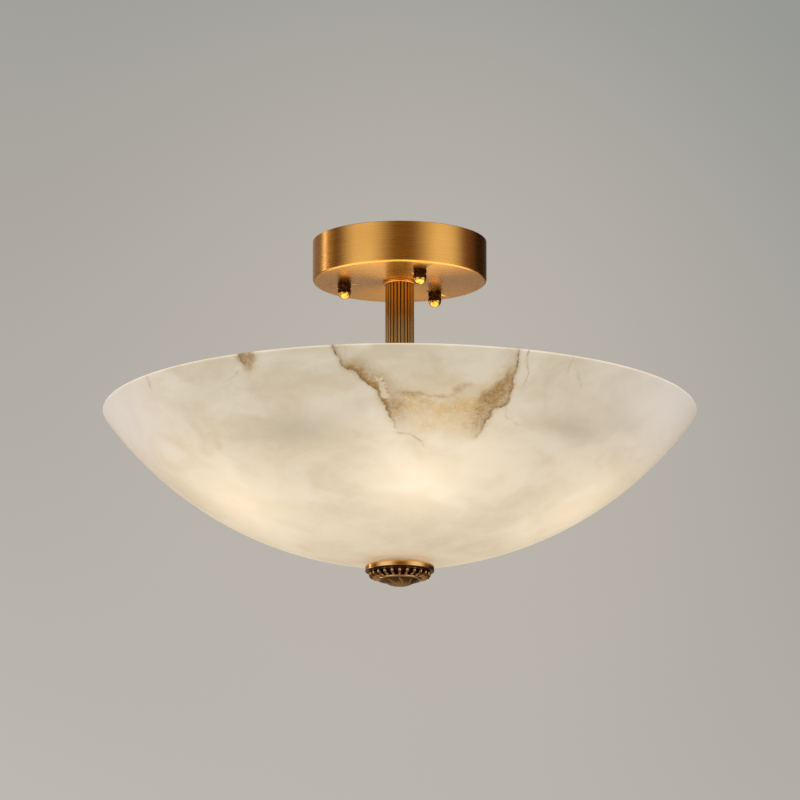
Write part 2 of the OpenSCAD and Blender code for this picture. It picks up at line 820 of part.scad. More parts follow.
// One lobe: a ball above, and a cone that narrows from it into the bead
module gadroon() {
    low_r = gadroon_r * 0.68;
    top = [finial_r - 2.1 - gadroon_r, gadroon_top - groove_h - gadroon_r * 0.55];
    low = [bead_reach - 1, gadroon_bottom - 0.1];
    gap = norm(top - low);
    translate([top[0], 0, top[1]]) sphere(r = gadroon_r);
    translate([low[0], 0, low[1]]) rotate([0, atan2(top[0] - low[0], top[1] - low[1]), 0])
        cylinder(r1 = low_r, r2 = gadroon_r - 0.05, h = gap);
}

mounting_plate();
mounting_studs();
stud_lock_nuts();
plate_earth_screw();
canopy();
terminal_bracket();
canopy_washer();
canopy_nut();
stem_collar();
stem_tube();
stem_foot();
stem_nipple();
hub_body();
hub_cover();
hub_nuts();
bowl_rod();
holder_nipples();
holder_nuts();
for (i = [1:LAMPS]) lampholder(i - 1);
holder_sleeves();
holder_contacts();
terminal_block();
terminal_screws();
canopy_earth_screw();
live_wire();
neutral_wire();
earth_wire();
live_spider();
neutral_spider();
bowl_stop_washer();
bowl_stop_nut();
for (i = [1:STUDS]) thumb_nut(i - 1);
for (i = [1:LAMPS]) bulb_cap(i - 1);
for (i = [1:LAMPS]) bulb_housing(i - 1);
for (i = [1:LAMPS]) bulb_globe(i - 1);
alabaster_bowl();
upper_gasket();
lower_gasket();
finial();
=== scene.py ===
"""Semi-flush ceiling light: a veined alabaster bowl on a reeded brass stem.

Everything is in the part's frame: +Z up, the ceiling plane at z = 0. Shapes are drawn in
millimetres and turned to metres as each mesh is finished.
"""

import functools
import json
import random
from math import acos, asin, atan2, cos, pi, radians, sin, sqrt

import bmesh
import bpy
import numpy as np
from mathutils import Matrix, Vector


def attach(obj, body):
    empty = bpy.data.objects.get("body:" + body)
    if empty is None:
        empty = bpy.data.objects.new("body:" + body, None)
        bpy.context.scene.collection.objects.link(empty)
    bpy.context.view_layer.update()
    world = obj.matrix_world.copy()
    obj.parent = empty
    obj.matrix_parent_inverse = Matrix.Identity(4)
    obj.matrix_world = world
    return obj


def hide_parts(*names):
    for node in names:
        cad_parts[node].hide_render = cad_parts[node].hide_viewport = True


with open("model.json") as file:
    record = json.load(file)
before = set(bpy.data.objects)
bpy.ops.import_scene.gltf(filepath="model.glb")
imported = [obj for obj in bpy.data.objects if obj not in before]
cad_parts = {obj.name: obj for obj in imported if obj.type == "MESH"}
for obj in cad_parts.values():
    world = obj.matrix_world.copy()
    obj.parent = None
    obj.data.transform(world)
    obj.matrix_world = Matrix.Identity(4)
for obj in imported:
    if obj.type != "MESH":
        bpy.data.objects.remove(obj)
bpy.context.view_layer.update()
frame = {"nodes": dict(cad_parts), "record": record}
MM = 0.001
TAU = 2 * pi

# Sizes and places, in millimetres, as the part's source has them
LAMP_ANGLES = [277 + 72 * i for i in range(5)]
STUD_ANGLES = [51 + 120 * i for i in range(3)]
STUD_CIRCLE = 38.0
CANOPY_R, CANOPY_LOW, CANOPY_WALL, CANOPY_EDGE = 58.9, -27.9, 1.2, 1.8
TUBE_TOP, TUBE_LOW, TUBE_BORE = -29.9, -131.9, 7.3
REEDS, REED_CREST, REED_VALLEY = 24, 9.75, 8.75
RING_R, ROD_R, ROD_HOLE = 11.35, 5.0, 5.15
HUB_TOP, HUB_LOW, HUB_MID = -135.9, -163.9, -149.9
GLOBE_AT, GLOBE_R, GLOBE_WALL = 97.9, 22.5, 1.2
RIM_Z, BOWL_R, BOWL_DEPTH, BOWL_WALL, RIM_EASE = -117.7, 200.0, 104.0, 8.5, 1.0
SPHERE_R = (BOWL_DEPTH + (BOWL_R - RIM_EASE) ** 2 / (BOWL_DEPTH - 2 * RIM_EASE)) / 2
SPHERE_Z = RIM_Z - BOWL_DEPTH + SPHERE_R
SPHERE_AT = np.array([0, 0, SPHERE_Z])
INNER_R = SPHERE_R - BOWL_WALL
SEAT_R = 16.0
SEAT_Z = SPHERE_Z - sqrt(SPHERE_R**2 - SEAT_R**2)
FLOOR_Z = SPHERE_Z - INNER_R
DISC_Z, STOP_NUT_Z, NUT_T, NUT_AF = FLOOR_Z + 2.0, FLOOR_Z + 3.5, 3.0, 14.0
FINIAL_TOP = SEAT_Z - 3.0
BAND_R, BAND_H, GROOVE_H, LOBES = 23.2, 3.9, 0.9, 24
LOBE_TOP = FINIAL_TOP - BAND_H
LOBE_LOW = LOBE_TOP - 4.2
BEAD_R, BEAD_REACH = 0.95, 15.2
BEAD_Z = LOBE_LOW - BEAD_R + 0.2
DOME_TOP, DOME_R, DOME_H = BEAD_Z - BEAD_R + 0.3, 12.6, 4.4
DOME_LOW = DOME_TOP - DOME_H
ROD_LOW = FINIAL_TOP - 10.0


# Marks in the stone. Cracks are (azimuth, drop below the rim) points, a strength, and how much
# clay they have let in, with its sign for the side: + is the right of a crack that runs down.
# Open cracks come first, then hairlines; lines of one group lie at least 20 mm apart.

CRACKS = [
    ([(257.6, 0.5), (258.1, 6.9), (258.8, 12.6), (260.5, 15.1), (261.8, 18.5), (263.4, 22.5),
      (265, 25.9), (266.3, 31.9), (267.1, 36.3), (267.9, 41.1), (268.3, 44.8), (269.4, 49.5)],
     1, 1),
    ([(292.6, 0.5), (293.1, 10.3), (293.2, 15.9), (293.5, 22), (293.6, 26.5), (293.6, 30.3),
      (292.6, 33.2), (291, 34), (290.7, 36.5), (290.9, 38.6), (290.2, 40.9), (289.8, 44.7),
      (289.2, 48.5), (288.4, 53.4)], 0.8, -0.9),
    ([(306.5, 9.2), (309.4, 17.3)], 0.25, 0),
    ([(213.6, 0.5), (213.2, 6.6), (212.5, 10.5)], 0.35, 0),
]
HAIRLINES = [
    ([(269.4, 49.5), (272.1, 49.5), (273.8, 51.6), (275.2, 53.6), (276.9, 57.6)], 0.5, 0),
    ([(294.8, 0.5), (294.8, 6.4), (296, 12.9), (296, 19.1), (295.5, 22.1)], 0.6, 0),
    ([(293.8, 34.2), (294.5, 38.4), (297.3, 41), (299.6, 43.2)], 0.25, 0),
    ([(304.4, 0.5), (304.4, 13.5)], 0.22, 0),
    ([(268.3, 28.2), (271.2, 27.7), (274.1, 28.1), (277.1, 29.6), (280.1, 29.9), (281.7, 28.1),
      (281.9, 24.2), (283.4, 22.9), (285, 21.5)], 0.22, 0),
    ([(238.7, 0.5), (238.7, 4.3), (239.2, 7.5)], 0.9, 0),
    ([(237.1, 10.6), (234.3, 14.2)], 0.25, 0),
]
# Clay patches, tan wash, white streaks, grey clouds and pale pink ends:
# (azimuth, drop, half width across, half height, weight)
STAINS = [
    (260.4, 13.4, 4, 4, 0.6), (262.6, 18, 4, 5, 0.6), (265.7, 23.2, 5, 5, 0.65),
    (270.1, 27, 9, 5, 0.34), (272.5, 31.5, 8, 5, 0.26), (269.5, 36, 6, 6, 0.36),
    (274, 28, 9, 2.5, 0.5), (279, 29.5, 8, 2.5, 0.5), (282, 26, 6, 4, 0.45),
    (284, 22.5, 5, 3, 0.35), (276, 33, 8, 3, 0.3), (289, 27.4, 9, 6, 0.85),
    (291.2, 22, 5, 7, 0.6), (288, 35.8, 6, 6, 0.6), (288, 45, 4, 5, 0.5),
    (291.8, 15.7, 3, 6, 0.55), (258.6, 5, 3, 4, 0.3), (240, 2.5, 7, 5, 1.5),
    (239.4, 9, 5, 5, 0.7), (236, 14, 4, 4, 0.2),
]
WASHES = [
    (272, 34, 14, 9, 0.62), (279, 37, 16, 10, 0.66), (286, 35, 14, 11, 0.85),
    (290, 26, 9, 9, 0.8), (276, 46, 14, 6, 0.45), (285, 47, 12, 6, 0.45),
    (265, 22, 8, 7, 0.6), (261.5, 14, 5, 5, 0.5), (292, 15, 5, 8, 0.6),
    (275, 28.5, 14, 4, 0.3), (240, 9, 5, 6, 0.4), (278, 22, 16, 6, 0.35),
]
STREAKS = [(265, 45.2, 3, 8, 0.7), (263.5, 38.3, 3, 8, 0.6), (259, 30, 4, 9, 0.4)]
GREYS = [(246, 45, 30, 12, 0.7), (262, 34, 12, 8, 0.25), (313, 40, 26, 9, 0.6),
         (326, 30, 30, 10, 0.3)]
PINKS = [(190, 10, 70, 40, 1), (342, 10, 80, 45, 1)]
CHIPS = [(265.8, 21, 2.2), (266.3, 23.6, 2.7), (266.7, 26.4, 2.9), (267, 29.4, 3.1)]


def polar(reach, turn, height):
    """The place at a distance from Z, turned from +X by an angle in radians, at a height."""
    return Vector((reach * cos(turn), reach * sin(turn), height))


def on_bowl(azimuth, drop):
    """The point of the bowl's outside at an azimuth in degrees, drop millimetres under the rim."""
    z = RIM_Z - drop
    return np.array(polar(sqrt(SPHERE_R**2 - (z - SPHERE_Z) ** 2), radians(azimuth), z))


# Colours and nodes

MODES = {"Math": "operation", "VectorMath": "operation", "Mix": "data_type",
         "MapRange": "interpolation_type"}


def linear(code):
    """An sRGB hex code as Blender's linear colour."""
    parts = [int(code[i : i + 2], 16) / 255 for i in (1, 3, 5)]
    return (*[c / 12.92 if c <= 0.04045 else ((c + 0.055) / 1.055) ** 2.4 for c in parts], 1.0)


def add(tree, kind, sockets=(), stops=(), **settings):
    """Adds a node with its settings. A kind without Node in its name is a shader's, and some carry
    their mode. The sockets are inputs, in their order or by key: each takes a value, a hex code,
    an output, or a node's first output. Stops are a ramp's (position, hex code) pairs."""
    kind, _, mode = kind.partition(" ")
    made = tree.nodes.new(kind if "Node" in kind else "ShaderNode" + kind)
    if mode:
        setattr(made, MODES[kind], mode)
    for key, value in settings.items():
        setattr(made, key, value)
    for key, value in sockets.items() if isinstance(sockets, dict) else enumerate(sockets):
        if isinstance(value, bpy.types.Node):
            value = next(out for out in value.outputs if out.enabled)
        if isinstance(value, bpy.types.NodeSocket):
            tree.links.new(value, made.inputs[key])
        else:
            made.inputs[key].default_value = linear(value) if isinstance(value, str) else value
    for k, (position, code) in enumerate(stops):
        band = made.color_ramp.elements
        stop = band[k] if k < 2 else band.new(position)
        stop.position, stop.color = position, linear(code)
    return made


def new_material(name):
    """An empty material, what adds a node to it, and its object coordinates."""
    material = bpy.data.materials.new(name)
    material.use_nodes = True
    material.node_tree.nodes.clear()
    node = functools.partial(add, material.node_tree)
    return material, node, node("TexCoord").outputs["Object"]


# Finishes: each returns the sockets of its surface


def from_axis(node, point):
    """A point's distance from the light's axis, then its coordinates."""
    x, y, z = node("SeparateXYZ", [point]).outputs
    flat = node("CombineXYZ", [x, y])
    return node("VectorMath LENGTH", [flat]).outputs["Value"], x, y, z


def brushed_brass(node, point):
    """Spun brass, brushed on the lathe: fine rings that stretch each highlight across them."""
    reach, x, y, z = from_axis(node, point)
    turn = node("Math ARCTAN2", [y, x])
    # Brush lines are 0.1 to 0.3 mm apart and are drawn at 0.5 mm, so that they show
    apart = 1 / (0.5 * MM)
    ring = node("CombineXYZ", [reach, turn, z])
    lines = node("TexNoise", {
        "Vector": node("VectorMath MULTIPLY", [ring, (apart, 1.5, apart)]), "Scale": 1,
        "Detail": 4, "Roughness": 0.65})
    # The flat underside is brushed finer than the side
    up = node("SeparateXYZ", [node("NewGeometry").outputs["Normal"]]).outputs["Z"]
    flat = node("Math ABSOLUTE", [up])
    tarnish = node("TexNoise", {"Vector": point, "Scale": 1 / (40 * MM), "Detail": 3})
    gold = node("Mix RGBA", {0: lines, 6: "#C4883D", 7: "#E3AB5B"})
    worn = node("MapRange", [tarnish, 0.4, 0.75, 0, 0.3])
    return {
        "Base Color": node("Mix RGBA", {0: worn, 6: gold, 7: "#B3742F"}),
        "Metallic": 1, "Anisotropic": 0.7, "Anisotropic Rotation": 0.25,
        "Roughness": node("MapRange", [lines, 0.25, 0.75, 0.24, 0.31]),
        "Normal": node("Bump", {
            "Height": lines, "Distance": 0.02 * MM,
            "Strength": node("MapRange", [flat, 0.6, 0.95, 0.12, 0.04])}),
        "Tangent": node("Tangent", direction_type="RADIAL", axis="Z")}


def aged_brass(node, point):
    """Drawn brass tube, rubbed bright on its reeds and dark in the valleys between them, with
    patina and painted shade.
    """
    reach, _, _, z = from_axis(node, point)
    crest = node("MapRange SMOOTHSTEP", [reach, (REED_VALLEY + 0.15) * MM, (REED_CREST - 0.1) * MM])
    # Drawing marks run down the tube: 1 mm across, 50 mm long
    drawn = node("TexNoise", {
        "Vector": node("Mapping", {"Vector": point, "Scale": (1 / MM, 1 / MM, 0.02 / MM)}),
        "Scale": 1, "Detail": 3})
    # The valleys' dark colour is patina together with painted shade
    gold, dark = (node("Mix RGBA", {0: drawn, 6: low, 7: high})
                  for low, high in (("#8A6232", "#C49658"), ("#22130A", "#4A2E14")))
    # Duller and darker near the collar: painted shade under the canopy
    dulled = node("MapRange SMOOTHSTEP", [z, -80 * MM, -42 * MM, 0, 0.6])
    gold = node("Mix RGBA", {0: dulled, 6: gold, 7: "#86754F"})
    return {
        "Base Color": node("Mix RGBA", {0: crest, 6: dark, 7: gold}),
        "Metallic": 1, "Roughness": node("MapRange", [crest, 0, 1, 0.55, 0.26]),
        "Normal": node("Bump", {"Height": drawn, "Strength": 0.3, "Distance": 0.02 * MM})}


def relieved_bronze(node, point):
    """Cast bronze, blackened, relieved by hand and lacquered: gold on what stands out, brown-black
    in the recesses, and a thin clear gloss over both. The piece's attribute says how far each point
    stands out, and also carries painted shade towards the foot of the lobes and a painted highlight
    on the bead's lower side."""
    grit = node("TexNoise", {"Vector": point, "Scale": 1 / (0.7 * MM), "Detail": 4})
    relief = node("Attribute", attribute_name="relief").outputs["Fac"]
    # The relief with the finial's painted shade and highlight, roughened by grit
    worn = node("Math ADD", [relief, node("MapRange", [grit, 0, 1, -0.2, 0.2])])
    return {
        "Base Color": node("ValToRGB", [worn], [
            (0.05, "#1A0E06"), (0.36, "#563616"), (0.62, "#94642F"), (0.92, "#DCA866")]),
        "Metallic": 1, "Coat Weight": 0.2, "Coat Roughness": 0.2,
        "Roughness": node("MapRange", [worn, 0.1, 0.9, 0.5, 0.18]),
        "Normal": node("Bump", {"Height": grit, "Strength": 0.3, "Distance": 0.05 * MM})}


def metal(node, point, low, high, rough, grain_mm):
    """Plated or stamped small metal parts: a faint spangle in tone and gloss, grain_mm across."""
    cells = node("TexVoronoi", {"Vector": point, "Scale": 1 / (grain_mm * MM)})
    spangle = node("SeparateColor", [cells.outputs["Color"]])
    return {
        "Base Color": node("Mix RGBA", {0: spangle, 6: low, 7: high}), "Metallic": 1,
        "Roughness": node("MapRange", [spangle, 0, 1, rough - 0.05, rough + 0.07])}


def clouded(node, point, low, high, patch_mm, rough, detail=3, tone=(0, 1), gloss=(0, 1),
            grain_mm=None, **sockets):
    """A finish whose colour and roughness waver over patches patch_mm across, with a moulding's
    grain if grain_mm is given. Tone and gloss are the part of the noise that each follows."""
    patch = node("TexNoise", {"Vector": point, "Scale": 1 / (patch_mm * MM), "Detail": detail})
    if grain_mm:
        grain = node("TexNoise", {"Vector": point, "Scale": 1 / (grain_mm * MM), "Detail": 2})
        sockets["Normal"] = node("Bump", {"Height": grain, "Strength": 0.3, "Distance": 0.03 * MM})
    factor = node("MapRange", [patch, *tone])
    return {
        "Base Color": node("Mix RGBA", {0: factor, 6: low, 7: high}),
        "Roughness": node("MapRange", [patch, *gloss, *rough]), **sockets}


def moulded(node, point, low, high, rough):
    """Moulded plastic: a slight flow in its tone, and the 0.4 mm grain of a spark-eroded mould."""
    return clouded(node, point, low, high, 30, (rough - 0.04, rough + 0.04), 2, grain_mm=0.4)


def opal_diffuser(node, point):
    """Opal polycarbonate of a lit lamp: an even warm light with a slight cloudiness."""
    cloud = node("TexNoise", {"Vector": point, "Scale": 1 / (25 * MM), "Detail": 2})
    return {
        "Base Color": "#F2EBDD", "Roughness": 0.35, "Emission Strength": 1.25,
        "Emission Color": node("Mix RGBA", {0: cloud, 6: "#FFE6BE", 7: "#FFF0D6"})}


def turned_alabaster(node, point):
    """Calcite alabaster, turned and waxed: milky stone whose light from the lamps inside is painted
    as a glow, with clay stains and healed cracks. The bowl's attributes give where the stains,
    cracks and painted lamp light fall."""
    (across, strong, streak), (across_b, strong_b, grey), (stain, glow, pink), (bleeds, tan, _) = (
        node("SeparateXYZ", [node("Attribute", attribute_name=name).outputs["Vector"]]).outputs
        for name in ("cracks", "hairlines", "clouds", "clay"))
    lay = node("Mapping", {"Vector": point, "Scale": (1, 1, 1.8)})
    wander, jag, breaks, ragged, grains, drift, mottle = (
        node("TexNoise", {"Vector": place, "Scale": 1 / (size * MM), "Detail": detail,
                          "Roughness": rough, "Distortion": twist})
        for place, size, detail, rough, twist in (
            # Cracks wander by 2 mm over 8 mm and by 1 mm over 1.6 mm, and break up over 4 mm
            (point, 8, 2, 0.5, 0), (point, 1.6, 3, 0.5, 0), (point, 4, 3, 0.5, 0),
            # The clay's edge is ragged over 11 mm, and its body grainy over 2.4 mm
            (point, 11, 6, 0.62, 0.5), (point, 2.4, 5, 0.65, 0.8),
            # Milky bands 50 mm long, and a crystalline mottle of 3 to 12 mm
            (lay, 55, 5, 0.55, 0.8), (lay, 12, 6, 0.6, 0.4)))

    # Each crack has a core and a halo four times as wide
    stray = node("Math ADD", [
        node("MapRange", [wander, 0, 1, -2.4, 2.4]),
        node("MapRange", [jag, 0, 1, -1.3, 1.3])])
    broken = node("MapRange SMOOTHSTEP", [breaks, 0.4, 0.6, 0.08, 1])
    ways, marks = [], []
    for distance, strength, half_width, stray_by in (
            (across, strong, 0.9, 1), (across_b, strong_b, 0.5, 0.6)):
        ways.append(node("Math MULTIPLY_ADD", [stray, stray_by, distance]))
        off = node("Math ABSOLUTE", [ways[-1]])
        for width, power in ((half_width, broken), (4 * half_width, 1)):
            mark = node("MapRange SMOOTHSTEP", [off, 0, width, 1, 0])
            for factor in (strength, power):
                mark = node("Math MULTIPLY", [mark, factor])
            marks.append(mark)
    core, halo = (node("Math MAXIMUM", pair) for pair in zip(marks, marks[2:]))

    # Clay has soaked in on one side of each open crack: it stops at the crack, darkest there, and
    # fades over 19 mm. The tan wash further in stops at the crack as well.
    side = node("Math SIGN", [bleeds])
    toward = node("Math MULTIPLY", [ways[0], side])
    amount = node("Math ABSOLUTE", [bleeds])
    beyond = node("MapRange", [toward, -0.7, 0.5, -1, 0])
    inside = node("Math MULTIPLY_ADD", [beyond, amount, 1], use_clamp=True)
    soaked = node("Math POWER", [node("MapRange", [toward, 0, 19, 1, 0]), 1.5])
    for limit in (amount, node("Math ADD", [beyond, 1])):
        soaked = node("Math MULTIPLY", [soaked, limit])
    patches = node("Math ADD", [node("MapRange", [ragged, 0, 1, -0.5, 0.5]), stain])
    patches = node("Math MULTIPLY", [
        node("MapRange SMOOTHSTEP", [patches, 0.15, 1]),
        node("MapRange SMOOTHSTEP", [stain, 0.04, 0.3])])
    clay = node("Math ADD", [soaked, patches], use_clamp=True)
    for limit in (node("MapRange", [grains, 0.38, 0.62, 0.55, 1]), inside):
        clay = node("Math MULTIPLY", [clay, limit])
    clay = node("Math MULTIPLY_ADD", [halo, 0.3, clay], use_clamp=True)
    wash = tan
    for limit in (node("MapRange", [ragged, 0.3, 0.6, 0.55, 1.2]),
                  node("MapRange", [grains, 0.38, 0.62, 0.65, 1.3]), inside):
        wash = node("Math MULTIPLY", [wash, limit])
    wash.use_clamp = True
    # Thin brown threads wind through the wash, 2 to 5 mm apart
    middle = node("Math ABSOLUTE", [node("Math ADD", [grains, -0.5])])
    threads = node("MapRange", [middle, 0, 0.025, 0.55, 0])
    for limit in (broken, wash):
        threads = node("Math MULTIPLY", [threads, limit])

    # Chips along the main crack show fresh cream stone
    splintered, chips = point, 0
    for noise, shift in ((wander, 6 * MM), (jag, 5 * MM)):
        splintered = node("VectorMath MULTIPLY_ADD", [
            noise.outputs["Color"], [shift] * 3, splintered])
    for azimuth, drop, size in CHIPS:
        centre = tuple(MM * (on_bowl(azimuth, drop) + 5.5))
        away = node("VectorMath DISTANCE", [splintered, centre]).outputs["Value"]
        chip = node("MapRange", [away, size * 0.7 * MM, size * 0.95 * MM, 1, 0])
        chips = node("Math MAXIMUM", [chip, chips])

    milk = node("Math ADD", [
        node("MapRange SMOOTHSTEP", [drift, 0.3, 0.7]),
        node("MapRange", [mottle, 0, 1, -0.6, 0.6])], use_clamp=True)
    veil = node("Math MULTIPLY", [streak, node("MapRange", [ragged, 0.4, 0.6])])
    stone = node("Mix RGBA", {0: milk, 6: "#CFC3AB", 7: "#DED6C6"})
    for factor, code in (
            (pink, "#EEE7E6"), (grey, "#B5AC99"), (veil, "#E9E4D8"), (wash, "#D6B988"),
            (clay, "#A07A42"), (threads, "#86602E"), (chips, "#E6D9BC"), (core, "#755225")):
        stone = node("Mix RGBA", {0: factor, 6: stone, 7: code})

    # The lamps' light through 8.5 mm of stone, painted as a glow and held back by stain and crack
    held = 0.75
    for factor, passed in (
            (milk, 1.12), (wash, 0.85), (clay, 0.5), (grey, 0.8), (threads, 0.6), (core, 0.3)):
        held = node("Math MULTIPLY", [held, node("MapRange", [factor, 0, 1, 1, passed])])
    warm = node("Mix RGBA", {0: glow, 6: "#E6CFA8", 7: "#F8E2C2"})
    for factor, code in ((wash, "#EBC88E"), (clay, "#D0A05C")):
        warm = node("Mix RGBA", {0: factor, 6: warm, 7: code})
    pits = node("Math MULTIPLY_ADD", [core, -1, mottle])
    return {
        "Base Color": stone, "IOR": 1.52, "Roughness": 0.38, "Emission Color": warm,
        "Emission Strength": node("Math MULTIPLY", [glow, held]),
        "Normal": node("Bump", {"Height": pits, "Strength": 0.25, "Distance": 0.4 * MM})}


def dressed(name, finish, *values, **more):
    """A material whose surface has the sockets that a finish gives it."""
    material, node, point = new_material(name)
    node("OutputMaterial", [node("BsdfPrincipled", finish(node, point, *values, **more))])
    return material


BRASS = dressed("brushed_brass", brushed_brass)
STEM = dressed("aged_brass", aged_brass)
# Turned brass, buffed bright, with faint smears from handling
POLISHED = dressed("polished_brass", clouded, "#D38D2E", "#F2BC62", 4, (0.12, 0.26),
                   gloss=(0.3, 0.7), Metallic=1.0)
# Knurled brass under a dark brown patina, rubbed through on its points
PATINA = dressed("patinated_brass", clouded, "#2A180A", "#80551F", 1.1, (0.5, 0.3),
                 tone=(0.5, 0.72), gloss=(0.3, 0.7), Metallic=1.0)
BRONZE = dressed("relieved_bronze", relieved_bronze)
ALABASTER = dressed("turned_alabaster", turned_alabaster)
OPAL = dressed("opal_diffuser", opal_diffuser)
# Clear zinc on pressed and turned steel: cool grey with a fine spangle
ZINC = dressed("zinc_plated_steel", metal, "#BDC0C3", "#CBCDCC", 0.36, 3.0)
# Stamped and turned contact brass, thinly tarnished
CONTACT = dressed("contact_brass", metal, "#B4863A", "#D9B465", 0.3, 4.0)
# Nickel on a rolled lamp cap
NICKEL = dressed("nickel_plate", metal, "#BDB8AE", "#D8D3C8", 0.2, 5.0)
# Plastics and silicone: matt, except for the cap's half-gloss insulator
WHITE, NATURAL, SILICONE, INSULATOR, BROWN, BLUE, EARTH = (
    dressed(name, moulded, *values) for name, *values in (
        ("white_polyester_moulding", "#DDDAD2", "#E9E6DE", 0.5),
        ("natural_polyamide_moulding", "#D6D1BF", "#E2DDCC", 0.45),
        ("milky_silicone", "#D8D3C6", "#E8E3D6", 0.42),
        ("black_cap_insulator", "#17161A", "#232227", 0.25),
        ("brown_lead_sheath", "#4A2A16", "#5E3820", 0.45),
        ("blue_lead_sheath", "#1D3F86", "#2A4F9C", 0.45),
        ("green_yellow_lead_sheath", "#5D8A24", "#A8A72A", 0.45)))
SLOT_MATERIALS = {
    "zinc_steel": ZINC, "brushed_brass": BRASS, "antique_brass": STEM, "dark_bronze": BRONZE,
    "alabaster": ALABASTER, "silicone": SILICONE, "white_moulding": WHITE,
    "natural_moulding": NATURAL, "contact_brass": CONTACT, "cap_nickel": NICKEL, "opal": OPAL,
    "lead_brown": BROWN, "lead_blue": BLUE, "lead_earth": EARTH}


# Meshes and objects


def skin(rings, closed=False, bm=None):
    """Joins each ring of places to the next, and the last to the first if closed. A ring of one
    place is a pole."""
    bm = bm or bmesh.new()
    loops = [[bm.verts.new(place) for place in ring] for ring in rings]
    for low, high in zip(loops, loops[1:] + loops[:closed]):
        steps = max(len(low), len(high))
        for i in range(steps if steps > 1 else 0):
            j = (i + 1) % steps
            around = ((low, i), (low, j), (high, j), (high, i))
            bm.faces.new(list(dict.fromkeys(ring[k % len(ring)] for ring, k in around)))
    return bm


def sweep(profile, steps=96, closed=True, place=Matrix()):
    """Turns (radius, height) points round Z; a point on the axis becomes a pole."""
    return skin([[place @ polar(reach, TAU * i / steps, height)
                  for i in range(steps if reach > 1e-6 else 1)]
                 for reach, height in profile], closed)


def eased(points, radius=0.3, steps=3):
    """The same closed outline with its corners rounded; corners on the axis stay sharp."""
    outline = []
    for k, corner in enumerate(points):
        here = Vector(corner)
        if here.x < 1e-6:
            outline.append(tuple(corner))
            continue
        ways = [Vector(other) - here for other in (points[k - 1], points[(k + 1) % len(points)])]
        start, end = (here + way.normalized() * min(radius, 0.45 * way.length) for way in ways)
        for s in range(steps + 1):
            t = s / steps
            outline.append(tuple((1 - t) ** 2 * start + 2 * t * (1 - t) * here + t**2 * end))
    return outline


def arc(centre, radius, start, end, steps):
    """Points of an arc in the (radius, height) plane, with its angles in radians."""
    turns = [start + (end - start) * s / steps for s in range(steps + 1)]
    return [(centre[0] + radius * cos(a), centre[1] + radius * sin(a)) for a in turns]


def along_lamp(angle):
    """Turns +Z to point out along a lamp, at the hub's height."""
    return (Matrix.Translation((0, 0, HUB_MID)) @ Matrix.Rotation(radians(angle), 4, "Z")
            @ Matrix.Rotation(radians(90), 4, "Y"))


def at_stud(angle):
    return Matrix.Translation(polar(STUD_CIRCLE, radians(angle), 0))


def finished(name, bm, *materials):
    """A drawing as a mesh with its materials."""
    mesh = bpy.data.meshes.new(name)
    bm.to_mesh(mesh)
    bm.free()
    for material in materials:
        mesh.materials.append(material)
    return mesh


def to_mesh(bm, material, sharp=35):
    """A drawing in millimetres as a smooth mesh in metres, with edges over sharp degrees kept."""
    bmesh.ops.remove_doubles(bm, verts=bm.verts, dist=1e-4)
    bmesh.ops.recalc_face_normals(bm, faces=bm.faces)
    for face in bm.faces:
        face.smooth = True
    for edge in bm.edges:
        if edge.is_manifold and edge.calc_face_angle() > radians(sharp):
            edge.smooth = False
    bmesh.ops.scale(bm, vec=(MM, MM, MM), verts=bm.verts)
    return finished(material.name + "_mesh", bm, material)


def turned(profile, material, steps=96, place=Matrix(), sharp=35):
    return to_mesh(sweep(profile, steps, place=place), material, sharp)


def put(name, data):
    """A new object in the scene."""
    made = bpy.data.objects.new(name, data)
    bpy.context.scene.collection.objects.link(made)
    return made


def settled(made):
    """The plain mesh that an object's modifiers leave; the object goes."""
    bpy.context.view_layer.update()
    graph = bpy.context.evaluated_depsgraph_get()
    mesh = bpy.data.meshes.new_from_object(made.evaluated_get(graph), depsgraph=graph)
    bpy.data.objects.remove(made)
    return mesh


def cut(mesh, drills):
    """Cuts drills, drawn in millimetres, out of a mesh."""
    made = put("cutting", mesh)
    tools = [put("drill", to_mesh(bm, mesh.materials[0])) for bm in drills]
    for tool in tools:
        modifier = made.modifiers.new("drill", "BOOLEAN")
        modifier.object, modifier.operation, modifier.solver = tool, "DIFFERENCE", "EXACT"
    drilled = settled(made)
    for tool in tools:
        bpy.data.objects.remove(tool)
    return drilled


def piece(replaced, finish, meshes, body):
    """A finished piece from several meshes, on a CAD body, in place of the CAD's node."""
    name = f"{replaced}_{finish}"
    materials = list(dict.fromkeys(m for mesh in meshes for m in mesh.materials))
    bm = bmesh.new()
    for mesh in meshes:
        done = len(bm.faces)
        bm.from_mesh(mesh)
        bm.faces.ensure_lookup_table()
        for face in bm.faces[done:]:
            face.material_index = materials.index(mesh.materials[face.material_index])
    made = put(name, finished(name, bm, *materials))
    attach(made, body)
    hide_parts(replaced)
    return made


def places(made):
    """A piece's points, in millimetres."""
    flat = np.empty(len(made.data.vertices) * 3)
    made.data.vertices.foreach_get("co", flat)
    return flat.reshape(-1, 3) / MM


# Geometry Nodes for what repeats


def geometry_tree(name, **inputs):
    """A tree that takes a geometry, its named inputs and a material. Returns what adds a node to
    it, its inputs, and what closes it."""
    tree = bpy.data.node_groups.new(name, "GeometryNodeTree")
    for label, kind in {"Geometry": "Geometry", **inputs, "Material": "Material"}.items():
        tree.interface.new_socket(label, in_out="INPUT", socket_type="NodeSocket" + kind)
    tree.interface.new_socket("Geometry", in_out="OUTPUT", socket_type="NodeSocketGeometry")
    node = functools.partial(add, tree)
    given = node("NodeGroupInput").outputs

    def close(geometry):
        real = node("GeometryNodeRealizeInstances", [geometry])
        coated = node("GeometryNodeSetMaterial", {"Geometry": real, "Material": given["Material"]})
        node("NodeGroupOutput", [coated])
        return tree

    return node, given, close


